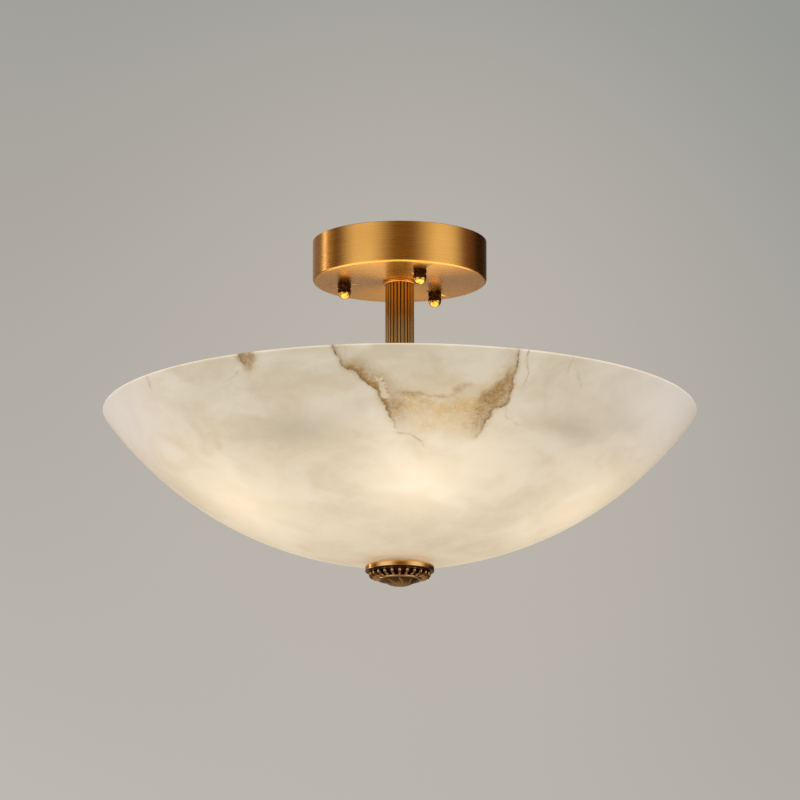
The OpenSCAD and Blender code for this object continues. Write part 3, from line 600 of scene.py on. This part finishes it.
def ring_of_copies():
    """Copies the given mesh Count times round Z."""
    node, given, close = geometry_tree("ring_of_copies", Count="Int")
    step = node("Math DIVIDE", [TAU, given["Count"]])
    angle = node("Math MULTIPLY", [node("GeometryNodeInputIndex"), step])
    return close(node("GeometryNodeInstanceOnPoints", {
        "Points": node("GeometryNodePoints", {"Count": given["Count"]}),
        "Instance": given["Geometry"],
        "Rotation": node("FunctionNodeEulerToRotation", [node("CombineXYZ", {2: angle})])}))


def screw_thread():
    """A helical ridge round Z from Base up, whose crest reaches Radius."""
    sizes = ("Radius", "Pitch", "Ridge", "Length", "Base")
    node, given, close = geometry_tree("screw_thread", **dict.fromkeys(sizes, "Float"))
    path_r = node("Math SUBTRACT", [given["Radius"], given["Ridge"]])
    spiral = node("GeometryNodeCurveSpiral", {
        "Resolution": 24, "Height": given["Length"], "Start Radius": path_r, "End Radius": path_r,
        "Rotations": node("Math DIVIDE", [given["Length"], given["Pitch"]])})
    placed = node("GeometryNodeTransform", {
        "Geometry": spiral, "Translation": node("CombineXYZ", {2: given["Base"]})})
    return close(node("GeometryNodeCurveToMesh", {
        "Curve": node("GeometryNodeSetCurveNormal", [placed], mode="Z_UP"),
        "Profile Curve": node("GeometryNodeCurvePrimitiveCircle", {
            "Resolution": 6, "Radius": given["Ridge"]}),
        "Fill Caps": True}))


RING_OF_COPIES = ring_of_copies()
SCREW_THREAD = screw_thread()


def grown(tree, start, material, place=Matrix(), **values):
    """Runs a geometry tree on a mesh, with its named inputs, and returns a plain mesh."""
    holder = put("growing", start)
    modifier = holder.modifiers.new("grow", "NODES")
    modifier.node_group = tree
    values["Material"] = material
    for item in tree.interface.items_tree:
        if item.in_out == "INPUT" and item.name in values:
            modifier[item.identifier] = values[item.name]
    mesh = settled(holder)
    mesh.transform(Matrix.Scale(MM, 4) @ place @ Matrix.Scale(1 / MM, 4))
    mesh.materials.clear()
    mesh.materials.append(material)
    mesh.polygons.foreach_set("use_smooth", [True] * len(mesh.polygons))
    return mesh


def thread(radius, pitch, base, length, material, place=Matrix(), ridge=None):
    """A thread in millimetres, with its crest at radius."""
    ridge = ridge or 0.36 * pitch
    sizes = dict(Radius=radius, Pitch=pitch, Ridge=ridge, Length=length, Base=base)
    return grown(SCREW_THREAD, bpy.data.meshes.new("thread_start"), material, place,
                 **{label: size * MM for label, size in sizes.items()})


# Studs, canopy, stem and ball nuts


def make_studs():
    """Pan head screws with a cross recess and a rolled thread."""
    low, high, tip, stud_r, pitch = -3.5, -1.3, CANOPY_LOW - 7.5, 2, 0.7
    head_r, core_r, cross_width = 3.8, 1.75, 0.85
    head = eased([(0, low), (head_r, low), (head_r, low + 0.9), (head_r - 0.4, high - 0.45),
                  (head_r - 1.2, high - 0.1), (head_r - 2.4, high), (0, high)], 0.15, 2)
    shank = eased([(0, tip), (core_r, tip), (core_r, low), (0, low)], 0.3)
    parts = []
    for angle in STUD_ANGLES:
        place, cross = at_stud(angle), [bmesh.new(), bmesh.new()]
        for bar, turn in zip(cross, (20, 110)):
            bmesh.ops.create_cube(bar, size=1, matrix=(
                place @ Matrix.Translation((0, 0, high)) @ Matrix.Rotation(radians(turn), 4, "Z")
                @ Matrix.Diagonal((4, cross_width, 2.2, 1))))
        parts += [cut(turned(head, ZINC, 48, place, 50), cross), turned(shank, ZINC, 32, place),
                  thread(stud_r, pitch, tip + 0.3, low - 2 - tip, ZINC, place)]
    piece("mounting_studs", "rolled", parts, "ceiling_mount")


def make_canopy():
    inner, low, floor = CANOPY_R - CANOPY_WALL, CANOPY_LOW, CANOPY_LOW + CANOPY_WALL
    quarter, bend, hole, past, rings = pi / 2, 0.8, 2.3, 60, (40, 24)
    profile = [
        (inner, -0.2), (inner + 0.3, 0), (CANOPY_R - 0.3, 0), (CANOPY_R, -0.3),
        *arc((CANOPY_R - CANOPY_EDGE, low + CANOPY_EDGE), CANOPY_EDGE, 0, -quarter, 10),
        *((ring, low) for ring in rings), (ROD_HOLE, low), (ROD_HOLE, floor),
        *((ring, floor) for ring in rings[::-1]),
        *arc((inner - bend, floor + bend), bend, -quarter, 0, 6)]
    drills = [sweep([(0, -past), (hole, -past), (hole, past), (0, past)], 32, False, at_stud(angle))
              for angle in STUD_ANGLES]
    canopy = cut(turned(profile, BRASS, 192), drills)
    piece("canopy", "spun", [canopy], "fixture")


def make_stem():
    spigot_r, spigot = TUBE_BORE - 0.05, 3
    for name, face, end, into in (("stem_collar", CANOPY_LOW, TUBE_TOP, -spigot),
                                  ("stem_foot", HUB_TOP, TUBE_LOW, spigot)):
        corners = [(ROD_HOLE, face), (RING_R, face), (RING_R, end), (spigot_r, end),
                   (spigot_r, end + into), (ROD_HOLE, end + into)]
        ring = turned(eased(corners, 0.7, 5), BRASS, 128)
        piece(name, "turned", [ring], "fixture")

    # Reeds are half-round beads side by side, with a sharp valley between each two
    half_pitch, per_reed, first_reed, shy = pi / REEDS, 14, radians(266.6), 0.25
    reed_r = REED_VALLEY * sin(half_pitch) * 0.97
    centre = REED_CREST - reed_r
    turns, reaches = [], []
    for i in range(REEDS * per_reed):
        a = half_pitch * (2 * (i % per_reed) / per_reed - 1)
        inside = max(reed_r**2 - (centre * sin(a)) ** 2, 0)
        reaches.append(max(REED_VALLEY, centre * cos(a) + sqrt(inside)))
        turns.append(first_reed + 2 * half_pitch * (i / per_reed - 0.5))
    levels = [(TUBE_LOW, shy), (TUBE_LOW + 0.3, 0), (TUBE_TOP - 0.3, 0), (TUBE_TOP, shy)]
    rings = [[polar(r - less, a, z) for r, a in zip(reaches, turns)] for z, less in levels]
    rings += [[polar(TUBE_BORE, a, z) for a in turns] for z, _ in levels[::-1]]
    tube = to_mesh(skin(rings, closed=True), STEM, 40)
    piece("stem_tube", "reeded", [tube], "fixture")


def make_ball_nuts():
    """Three nuts: two knurled bands with a waist between them, and a bright ball end."""
    band_h, waist_h, ball_h, r = 2.9, 0.6, 3.8, 4.45
    core, bore, ridges = r - 0.28, 2.05, 26
    waist = CANOPY_LOW - band_h
    low_band = waist - waist_h
    ball_top = low_band - band_h
    ball_r = ((r - 0.1) ** 2 + ball_h**2) / (2 * ball_h)
    ball_z, end = ball_top - ball_h + ball_r, CANOPY_LOW - 8.1
    start, half = asin((ball_top - ball_z) / ball_r), pi / ridges * 0.95
    waist_ring = [(bore, waist), (r - 0.55, waist), (r - 0.55, low_band), (bore, low_band)]
    ball = [(bore, ball_top), *arc((0, ball_z), ball_r, start, -pi / 2, 14)[:-1],
            (0, ball_top - ball_h), (0, end), (bore, end)]
    for i, angle in enumerate(STUD_ANGLES):
        place, parts = at_stud(angle), []
        for high in (CANOPY_LOW, low_band):
            low = high - band_h
            band = eased([(bore, high), (core, high), (core, low), (bore, low)], 0.12, 2)
            ridge = skin([
                [polar(core - 0.1, -half, z), (r - shy, 0, z), polar(core - 0.1, half, z)]
                for z, shy in ((high - 0.1, 0.25), (high - 0.35, 0), (low + 0.35, 0),
                               (low + 0.1, 0.25))])
            ridge.verts.ensure_lookup_table()
            for corners in (ridge.verts[:3], ridge.verts[-3:]):
                ridge.faces.new(corners)
            ridge = to_mesh(ridge, PATINA, 20)
            parts += [turned(band, PATINA, 48, place),
                      grown(RING_OF_COPIES, ridge, PATINA, place, Count=ridges)]
        parts += [turned(waist_ring, PATINA, 48, place), turned(ball, POLISHED, 48, place)]
        name = f"thumb_nut_{i + 1}"
        piece(name, "knurled", parts, name)


# Hub, lampholders and lamps


def make_lamps():
    """Moulded holders with a fluted rim, and lamps of a threaded cap, a housing and a globe."""
    back, neck_end, floor, rim_low, mouth = 28, 35, 44, 65, 68
    nipple_r, neck_r, shell_r, rim_r, bore, contact_r = 5.05, 10, 13.75, 14.2, 7.55, 3.5
    groove, groove_low, groove_high, slope, flutes = shell_r - 0.4, 45.4, 46.2, 0.4, 28
    holder = [
        (nipple_r, back), (neck_r, back), (neck_r, neck_end), (shell_r, neck_end + 3),
        (shell_r, groove_low - slope), (groove, groove_low), (groove, groove_high),
        (shell_r, groove_high + slope), (shell_r, rim_low), (rim_r, rim_low), (rim_r, mouth),
        (bore, mouth), (bore, floor), (contact_r, floor), (contact_r, neck_end),
        (nipple_r, neck_end)]
    cap_tip, cap_from, housing = floor + 1.4, floor + 4.7, mouth + 0.4
    open_z = GLOBE_AT - 0.44 * GLOBE_R
    cap_r, rolled, pitch, inner, base_r = 6.95, 0.62, 2.82, GLOBE_R - GLOBE_WALL, 11
    open_r = sqrt(GLOBE_R**2 - (GLOBE_AT - open_z) ** 2)
    shell = [(0, cap_from - 1.6), (5.2, cap_from - 1.6), (cap_r - 0.9, cap_from),
             (cap_r - rolled, cap_from + 0.6), (cap_r - rolled, housing), (0, housing)]
    tip = [(0, cap_tip), (1.9, cap_tip), (2.4, cap_tip + 0.5), (2.4, cap_tip + 1.1),
           (0, cap_tip + 1.1)]
    ring = [(0, cap_tip + 0.8), (3.4, cap_tip + 1), (5, cap_from - 1.5), (0, cap_from - 1.4)]
    body = eased([
        (0, housing), (base_r, housing), (base_r, housing + 2.5), (open_r - 0.9, open_z - 1.6),
        (open_r, open_z - 1.2), (open_r, open_z), (0, open_z)], 0.5, 4)
    outer_open, inner_open = (asin((open_z - GLOBE_AT) / r) for r in (GLOBE_R, inner))
    globe = [
        *arc((0, GLOBE_AT), GLOBE_R, outer_open, pi / 2, 36)[:-1], (0, GLOBE_AT + GLOBE_R),
        (0, GLOBE_AT + inner), *arc((0, GLOBE_AT), inner, pi / 2, inner_open, 30)[1:]]
    for i, angle in enumerate(LAMP_ANGLES):
        place, bulb = along_lamp(angle), f"bulb_{i + 1}"
        # Grip flutes round the holder's rim
        flute = bmesh.new()
        bmesh.ops.create_cube(flute, size=1)
        bmesh.ops.scale(flute, vec=(0.5, 1.5, 2.4), verts=flute.verts)
        bmesh.ops.translate(flute, vec=(rim_r, 0, rim_low + 1.5), verts=flute.verts)
        piece(f"lampholder_{i + 1}", "moulded", [
            turned(eased(holder, 0.35), WHITE, 96, place),
            grown(RING_OF_COPIES, to_mesh(flute, WHITE), WHITE, place, Count=flutes)],
            "fixture")
        ridge = thread(cap_r, pitch, cap_from + 0.8, housing - cap_from - 3.2, NICKEL, place, 0.75)
        cap = [turned(shell, NICKEL, 64, place), turned(tip, CONTACT, 32, place),
               turned(ring, INSULATOR, 48, place), ridge]
        for part, finish, meshes, slot in (
                ("cap", "threaded", cap, "cap_nickel"),
                ("housing", "moulded", [turned(body, WHITE, 96, place)], "white_moulding"),
                ("globe", "opal", [turned(globe, OPAL, 96, place)], "opal")):
            piece(f"{bulb}_{part}", finish, meshes, bulb)


def hex_nuts(*lows):
    """Hex nuts on the given heights, with chamfered corners and a countersunk bore."""
    corner, bore, chamfer, sink, steps = NUT_AF / sqrt(3), ROD_R + 0.05, 0.12 * NUT_T, 0.5, 48
    turns = [TAU * i / steps for i in range(steps)]
    flats = [NUT_AF / 2 / cos(a % (TAU / 6) - TAU / 12) for a in turns]
    bm = bmesh.new()
    for low in lows:
        outside = ((corner * 0.9, 0), (corner, chamfer), (corner, NUT_T - chamfer),
                   (corner * 0.9, NUT_T))
        inside = ((bore + sink, NUT_T), (bore, NUT_T - sink), (bore, sink), (bore + sink, 0))
        rings = [[polar(min(flat, reach), a, low + up) for a, flat in zip(turns, flats)]
                 for reach, up in outside]
        rings += [[polar(reach, a, low + up) for a in turns] for reach, up in inside]
        skin(rings, True, bm)
    return to_mesh(bm, ZINC, 25)


def make_rod_and_nuts():
    top, core, pitch, disc_r = HUB_LOW + NUT_T + 1.5, 4.7, 1, 17
    rod = [turned(eased([(0, ROD_LOW), (core, ROD_LOW), (core, top), (0, top)], 0.5), ZINC, 48),
           thread(ROD_R, pitch, ROD_LOW + 0.6, top - ROD_LOW - 1.2, ZINC)]
    hub_nuts = hex_nuts(HUB_TOP - 2.5 - NUT_T, HUB_LOW, HUB_LOW - 2 - NUT_T)
    disc = eased([(ROD_HOLE, DISC_Z), (disc_r, DISC_Z), (disc_r, STOP_NUT_Z),
                  (ROD_HOLE, STOP_NUT_Z)])
    for name, finish, meshes in (
            ("bowl_rod", "threaded", rod), ("hub_nuts", "chamfered", [hub_nuts]),
            ("bowl_stop_nut", "chamfered", [hex_nuts(STOP_NUT_Z)]),
            ("bowl_stop_washer", "pressed", [turned(disc, ZINC)])):
        piece(name, finish, meshes, "fixture")


# Bowl


def unseen_marks():
    """The same kinds of cracks and stains for the sides that the photograph doesn't show."""
    chance = random.Random(7)
    for azimuth in (22, 61, 104, 151):
        drop, way = 0.5, azimuth
        points = [(way, drop)]
        for _ in range(chance.randint(4, 7)):
            drop += chance.uniform(5, 10)
            way += chance.uniform(-1.5, 2.6)
            points.append((way, drop))
        CRACKS.append((points, chance.uniform(0.5, 0.9), chance.uniform(0.5, 1.0)))
        hair = [(way + 7.5 + chance.uniform(-0.6, 0.6) * k, 0.5 + 9 * k) for k in range(3)]
        HAIRLINES.append((hair, 0.3, 0.0))
        for k in range(5):
            at, down = points[min(k, len(points) - 1)]
            STAINS.append((at + chance.uniform(1, 3), down + chance.uniform(-3, 4),
                           chance.uniform(3, 6), chance.uniform(3, 5), chance.uniform(0.4, 0.7)))
            WASHES.append((at + chance.uniform(2, 5), down + chance.uniform(-3, 4), 11, 8, 0.5))
        GREYS.append((azimuth + 15, chance.uniform(35, 60), 26, 10, 0.5))


def line_field(points, lines):
    """Each point's signed distance from its nearest crack, in millimetres, that crack's strength
    there, and the clay it has let in."""
    nearest = np.full(len(points), 60.0)
    strength, clay = np.zeros(len(points)), np.zeros(len(points))
    for route, weight, let_in in lines:
        stops = [on_bowl(*stop) for stop in route]
        lengths = [np.linalg.norm(b - a) for a, b in zip(stops, stops[1:])]
        for k, (a, b, length) in enumerate(zip(stops, stops[1:], lengths)):
            t = np.clip(((points - a) @ (b - a)) / length**2, 0, 1)
            off = points - (a + t[:, None] * (b - a))
            side = np.sign(np.cross(b - a, off) @ (a - SPHERE_AT))
            distance = np.linalg.norm(off, axis=1)
            along = (sum(lengths[:k]) + t * length) / sum(lengths)
            # A crack thins out over its last quarter, and lets in less clay near the rim
            tail = np.clip((1 - along) / 0.25, 0, 1)
            soaks = np.clip(along / 0.3, 0.4, 1) * np.clip(1.6 - distance / 22, 0, 1)
            closer = distance < np.abs(nearest)
            nearest = np.where(closer, distance * np.where(side == 0, 1, side), nearest)
            strength = np.where(closer, weight * tail * np.clip(1.3 - distance / 9, 0, 1), strength)
            clay = np.where(closer, let_in * tail * soaks, clay)
    return nearest, strength, clay


def blob_field(points, blobs):
    """The sum of soft spots at each point, 1 at the most."""
    total = np.zeros(len(points))
    for azimuth, drop, across, down, weight in blobs:
        centre = on_bowl(azimuth, max(drop, 0))
        side = np.array(polar(1, radians(azimuth + 90), 0))
        up = np.cross(centre - SPHERE_AT, side)
        up /= np.linalg.norm(up)
        off = points - centre
        total += weight * np.exp(-(((off @ side) / across) ** 2) - ((off @ up) / down) ** 2)
    return np.clip(total, 0, 1)


def lamp_light(points):
    """How brightly the lamps light the bowl's inner face behind each point, 1 at the most. The
    stone spreads the light by about its distance from the lamps, so the spots are soft."""
    spread, rim_share, rim_depth = 45, 0.35, 1.6
    outward = points - SPHERE_AT
    outward /= np.linalg.norm(outward, axis=1)[:, None]
    total = np.zeros(len(points))
    for angle in LAMP_ANGLES:
        ray = points - np.array(along_lamp(angle) @ Vector((0, 0, GLOBE_AT)))
        distance = np.linalg.norm(ray, axis=1)
        facing_it = np.clip(np.sum(ray * outward, axis=1) / distance, 0, 1)
        total += facing_it / (distance**2 + spread**2)
    # The rim's thin edge lets out more
    rim = np.clip((points[:, 2] - RIM_Z + rim_depth) / 1.2, 0, 1)
    return total / total.max() + rim_share * rim


def make_bowl():
    unseen_marks()
    ease_z, hole, bevel, flat_r, top = RIM_Z - RIM_EASE, 6, 0.3, 19, pi / 2
    centre, below = (0, SPHERE_Z), ease_z - SPHERE_Z
    out_x, in_x = (sqrt(r**2 - below**2) for r in (SPHERE_R - RIM_EASE, INNER_R + RIM_EASE))
    out_angle, in_angle = atan2(below, out_x), atan2(below, in_x)
    profile = [
        (hole + bevel, SEAT_Z), (10, SEAT_Z),
        *arc(centre, SPHERE_R, atan2(SEAT_Z - SPHERE_Z, SEAT_R), out_angle, 128),
        *arc((out_x, ease_z), RIM_EASE, out_angle, top, 8)[1:],
        *arc((in_x, ease_z), RIM_EASE, top, pi + in_angle, 8),
        *arc(centre, INNER_R, in_angle, -acos(flat_r / INNER_R), 30)[1:],
        (flat_r, FLOOR_Z), (hole + bevel, FLOOR_Z), (hole, FLOOR_Z - bevel), (hole, SEAT_Z + bevel)]
    stone = turned(profile, ALABASTER, 480, sharp=40)
    bowl = piece("alabaster_bowl", "turned", [stone], "bowl")
    points = places(bowl)
    crack, crack_weight, bleeding = line_field(points, CRACKS)
    hair, hair_weight, _ = line_field(points, HAIRLINES)
    streaks, greys, stains, pinks, washes = (
        blob_field(points, blobs) for blobs in (STREAKS, GREYS, STAINS, PINKS, WASHES))
    for name, channels in (
            ("cracks", (crack, crack_weight, streaks)), ("hairlines", (hair, hair_weight, greys)),
            # Stains, the painted glow of the lamps' light through the stone, and the pink ends
            ("clouds", (stains, lamp_light(points), pinks)),
            ("clay", (bleeding, washes, np.zeros(len(points))))):
        layer = bowl.data.attributes.new(name, "FLOAT_VECTOR", "POINT")
        layer.data.foreach_set("vector", np.stack(channels, axis=1).ravel())
    for name, low, high, reach in (("upper_gasket", FLOOR_Z, DISC_Z, 18),
                                   ("lower_gasket", FINIAL_TOP, SEAT_Z, 15)):
        ring = eased([(hole, low), (reach, low), (reach, high), (hole, high)], 0.5, 4)
        piece(name, "cast", [turned(ring, SILICONE)], "bowl")


# Finial


def leaf_height(angle, reach):
    """Relief of the dome's leaves, 0 in the ground to 1 on a rib: eight long swirling leaves with
    eight short ones between them, each with a midrib and side veins."""
    ring = np.clip(reach / DOME_R, 0, 1)
    height = np.zeros_like(ring)
    for count, turn, tip, width in ((8, 0, 0.93, 0.36), (8, pi / 8, 0.66, 0.26)):
        a = (angle - turn + 0.9 * ring + pi / count) % (TAU / count) - pi / count
        across = np.abs(a) * ring * DOME_R
        half = width * DOME_R * 0.5 * np.sin(np.pi * np.clip(ring / tip, 0, 1)) ** 0.7 + 1e-3
        leaf = np.clip(1 - (across / half) ** 2, 0, 1) * (ring < tip)
        rib = np.exp(-((across / 0.3) ** 2)) * (ring < tip)
        vein = 0.5 + 0.5 * np.cos((reach * 1.1 - across * 1.4) * TAU / 1.7)
        height = np.maximum(height, leaf**0.5 * (0.55 + 0.25 * vein) + 0.3 * rib)
    boss = np.clip(1 - (reach / 1.9) ** 2, 0, 1)
    return np.clip(np.maximum(height, boss), 0, 1)


def make_finial():
    """A plain band, a ring of lobes under a groove, a bead, and a low dome in leaf."""
    groove, neck = LOBE_TOP - GROOVE_H, BEAD_REACH - BEAD_R
    bore, bore_end = ROD_R + 0.05, ROD_LOW - 0.7
    lip, core_top, core_low = BAND_R - 2.6, BAND_R - 3.9, BEAD_REACH - 0.9
    ease, quarter = 0.6, pi / 2
    plain = turned([
        (bore, FINIAL_TOP), *arc((BAND_R - ease, FINIAL_TOP - ease), ease, quarter, 0, 6),
        *arc((BAND_R - ease, LOBE_TOP + ease), ease, 0, -quarter, 6), (lip, LOBE_TOP),
        (lip, groove), (core_top, groove), (core_low, LOBE_LOW), (neck, LOBE_LOW),
        *arc((neck, BEAD_Z), BEAD_R, radians(70), radians(-80), 12),
        (neck - 0.4, DOME_TOP - 0.05), (DOME_R, DOME_TOP), (0, DOME_TOP - 0.4), (0, bore_end),
        (bore, bore_end)], BRONZE, 192)

    # The dome, with its leaves sunk 0.55 mm into the true surface
    sphere_r = (DOME_R**2 + DOME_H**2) / (2 * DOME_H)
    rows, steps, sunk = 40, 256, 0.55
    rings = []
    for row in range(rows + 1):
        reach = DOME_R * sin(quarter * row / rows)
        turns = TAU * np.arange(steps if row else 1) / steps
        drops = sunk * (1 - leaf_height(turns, reach)) * (reach < DOME_R - 0.2)
        heights = DOME_LOW + sphere_r - sqrt(sphere_r**2 - reach**2) + drops
        rings.append([polar(reach, a, z) for a, z in zip(turns, heights)])
    dome = to_mesh(skin([*rings, [(0, 0, DOME_TOP - 0.5)]]), BRONZE, 60)

    # One lobe: ovals that shrink from a round head down into the bead, copied round the ring
    head_r, foot_r, squash, sides, level = 2.05, 1.25, 0.7, 16, Vector((0, 1, 0))
    head = Vector((BAND_R - 4.3, 0, groove - 1.21))
    foot = Vector((BEAD_REACH - 1, 0, LOBE_LOW - 0.1))
    way = (foot - head).normalized()
    up = level.cross(way)
    sections = [(head - way * head_r * sin(t), head_r * cos(t))
                for t in (1.25, 0.95, 0.6, 0.3, 0)]
    sections += [(head.lerp(foot, t), head_r * (1 - t) + foot_r * t)
                 for t in (0.25, 0.5, 0.75, 1)]
    spokes = [squash * cos(TAU * k / sides) * level + sin(TAU * k / sides) * up
              for k in range(sides)]
    ovals = [[middle + r * spoke for spoke in spokes] for middle, r in sections]
    lobe = skin([[head - way * head_r], *ovals, [foot + way * 0.1]])
    lobes = grown(RING_OF_COPIES, to_mesh(lobe, BRONZE, 80), BRONZE, Count=LOBES)
    made = piece("finial", "cast", [plain, dome, lobes], "finial")

    # How far each point stands out, with painted light: the band, its underside, the lobes (painted
    # shade towards their foot), the bead (a painted highlight on its lower side), then the dome
    x, y, z = places(made).T
    reach, angle, pitch = np.hypot(x, y), np.arctan2(y, x), TAU / LOBES
    relief = np.where(z < LOBE_TOP + 0.25, 0.25, 0.95)
    off = np.abs((angle + pitch / 2) % pitch - pitch / 2) * reach
    stands = np.clip((reach - np.interp(z, [LOBE_LOW, groove], [core_low, core_top])) / 2.4, 0, 1)
    # Painted shade: the lobes darken from their heads towards their foot, above the bead
    lit = np.clip(0.2 + 1.1 * (z - LOBE_LOW) / (groove - LOBE_LOW), 0, 1)
    for there, height in (
            ((z < groove + 0.3) & (z > LOBE_LOW - 0.15),
             0.25 + 0.7 * np.clip(1.7 - off / 0.95, 0, 1) * stands * lit),
            # The bead: gold where it stands out at its outside, and a painted highlight on its
            # lower side
            ((z < LOBE_LOW + 0.1) & (reach > DOME_R + 0.3),
             np.clip(0.45 + 0.4 * (reach - neck + BEAD_Z - z) / BEAD_R, 0, 0.9)),
            ((z < DOME_TOP - 0.02) & (reach < DOME_R + 0.2),
             0.4 + 0.5 * leaf_height(angle, reach) ** 1.3)):
        relief[there] = height[there]
    made.data.attributes.new("relief", "FLOAT", "POINT").data.foreach_set("value", relief)


# The studio


def facing(bearing, distance, height):
    """A place round the light: bearing in degrees from the camera's side towards +X."""
    return polar(distance, radians(bearing - 90), height)


def lit_panel(name, size, level, place, aim, colour="#FFFFFF", reflected=False):
    """A lit panel whose face shines at the given level, where 1 is white; round for one size."""
    lamp = bpy.data.lights.new(name, "AREA")
    flat = isinstance(size, tuple)
    width, height = size if flat else (size, size)
    lamp.shape = "RECTANGLE" if flat else "DISK"
    lamp.size, lamp.size_y, lamp.color = width, height, linear(colour)[:3]
    lamp.energy = level * pi * width * height * (1 if flat else pi / 4)
    made = put(name, lamp)
    made.location = place
    made.rotation_euler = (Vector(aim) - made.location).to_track_quat("-Z", "Y").to_euler()
    made.visible_camera, made.visible_glossy = False, reflected


def reflected_room(shades):
    """A ring of panels and cloths round the light that only reflections see. Shades are
    (bearing, colour) pairs, and fade into each other as the panels' soft edges do."""
    name = "panels_and_cloths"
    material, node, point = new_material(name)
    x, y, _ = node("SeparateXYZ", [point]).outputs
    bearing = node("Math ARCTAN2", [x, node("Math MULTIPLY", [y, -1])])
    shade = node("ValToRGB", [node("MapRange", [bearing, -pi, pi])],
                 [((degrees + 180) / 360, code) for degrees, code in shades])
    shade.color_ramp.interpolation = "EASE"
    node("OutputMaterial", {"Surface": node("Emission", [shade, 1.35])})
    distance, low, high = 2.9, -2.2, 1.6
    rows = [[facing(turn, distance, z) for turn in range(0, 360, 5)] for z in (low, high)]
    made = put(name, finished(name, skin(rows), material))
    for ray in ("camera", "diffuse", "shadow", "transmission"):
        setattr(made, "visible_" + ray, False)


def make_world():
    world = bpy.data.worlds.new("studio")
    bpy.context.scene.world = world
    world.use_nodes = True
    world.node_tree.nodes.clear()
    node = functools.partial(add, world.node_tree)
    x, _, z = node("SeparateXYZ", [node("TexCoord").outputs["Generated"]]).outputs
    # The wall darkens upwards and to the right, with a soft pool of light behind the lamp
    lean = node("Math MULTIPLY_ADD", [x, 0.42, z])
    wall = node("ValToRGB", [node("MapRange", [lean, 0.14, 0.3])],
                [(0, "#BDB9B2"), (0.5, "#ACA8A1"), (1, "#979995")])
    away = node("VectorMath MULTIPLY_ADD", [
        node("CombineXYZ", [x, z]), (17, 15, 0), (-0.1, -3.4, 0)])
    away = node("VectorMath LENGTH", [away]).outputs["Value"]
    pool = node("MapRange SMOOTHSTEP", [away, 0, 1.4, 0.6, 0])
    wall = node("Mix RGBA", {0: pool, 6: wall, 7: "#C6BEB4"})
    paths, seen = node("LightPath").outputs, 0
    for ray in ("Camera", "Glossy", "Transmission"):
        seen = node("Math MAXIMUM", [paths[f"Is {ray} Ray"], seen])
    node("OutputWorld", {"Surface": node("MixShader", [
        seen, node("Background", ["#F4F3F1", 0.55]), node("Background", [wall, 1])])})


def make_studio():
    make_world()
    middle, softbox, strip, floor_z = (0, 0, -0.18), (1.5, 3.2), (0.3, 3), -2.3
    for name, size, level, bearing, reflected in (
            ("left_softbox", softbox, 1.5, -54, False), ("right_softbox", softbox, 1.5, 61, False),
            ("rear_left_strip", strip, 2.3, -117, True)):
        lit_panel(name, size, level, facing(bearing, 2.6, -0.35), middle, reflected=reflected)
    # The lamps' light out of the bowl's mouth, on canopy and stem
    lit_panel("bowl_mouth", 0.28, 1.9, (0, 0, -0.122), (0, 0, 0), "#FAF0C8", reflected=True)
    reflected_room([
        (-180, "#948A7C"), (-133, "#7A6C60"), (-110, "#A89474"), (-92, "#5C4A38"), (-57, "#F2F6FF"),
        (-43, "#F2F6FF"), (-3, "#70562A"), (12, "#70562A"), (54, "#F6FAFF"), (66, "#F2F5FC"),
        (100, "#684E40"), (128, "#1C120A"), (154, "#302A26"), (180, "#948A7C")])

    # Floor of the room, pale paper, seen only from above
    material, node, point = new_material("pale_paper")
    fibre = node("TexNoise", {"Vector": point, "Scale": 1 / (8 * MM), "Detail": 3})
    paper = node("Mix RGBA", {0: fibre, 6: "#C9C5BF", 7: "#CECAC4"})
    node("OutputMaterial", {"Surface": node("MixShader", [
        node("NewGeometry").outputs["Backfacing"], node("BsdfDiffuse", [paper]),
        node("BsdfTransparent")])})
    sheet = bmesh.new()
    bmesh.ops.create_circle(sheet, cap_ends=True, radius=7, segments=96)
    bmesh.ops.translate(sheet, vec=(0, 0, floor_z), verts=sheet.verts)
    put("floor", finished("floor", sheet, material))


def make_camera():
    """The photograph's view: a long lens, below the light and looking up at it."""
    tilt, distance, drop = 0.225275, 4.308259, 1.0971
    lens = bpy.data.cameras.new("photo_view")
    lens.sensor_width, lens.lens, lens.clip_end = 36, 294.82, 60
    camera = put("photo_view", lens)
    camera.location = (0.0002, -distance, -drop)
    camera.rotation_euler = (pi / 2 + tilt, 0, 0)
    bpy.context.scene.camera = camera


bpy.context.scene.view_settings.view_transform = "Standard"
make_camera()
make_studio()
make_studs()
make_canopy()
make_stem()
make_ball_nuts()
make_lamps()
make_rod_and_nuts()
make_bowl()
make_finial()

slots = {part["node"]: part["material_slot"] for part in frame["record"]["subparts"]}
for name, node in frame["nodes"].items():
    node.data.materials.clear()
    node.data.materials.append(SLOT_MATERIALS[slots[name]])
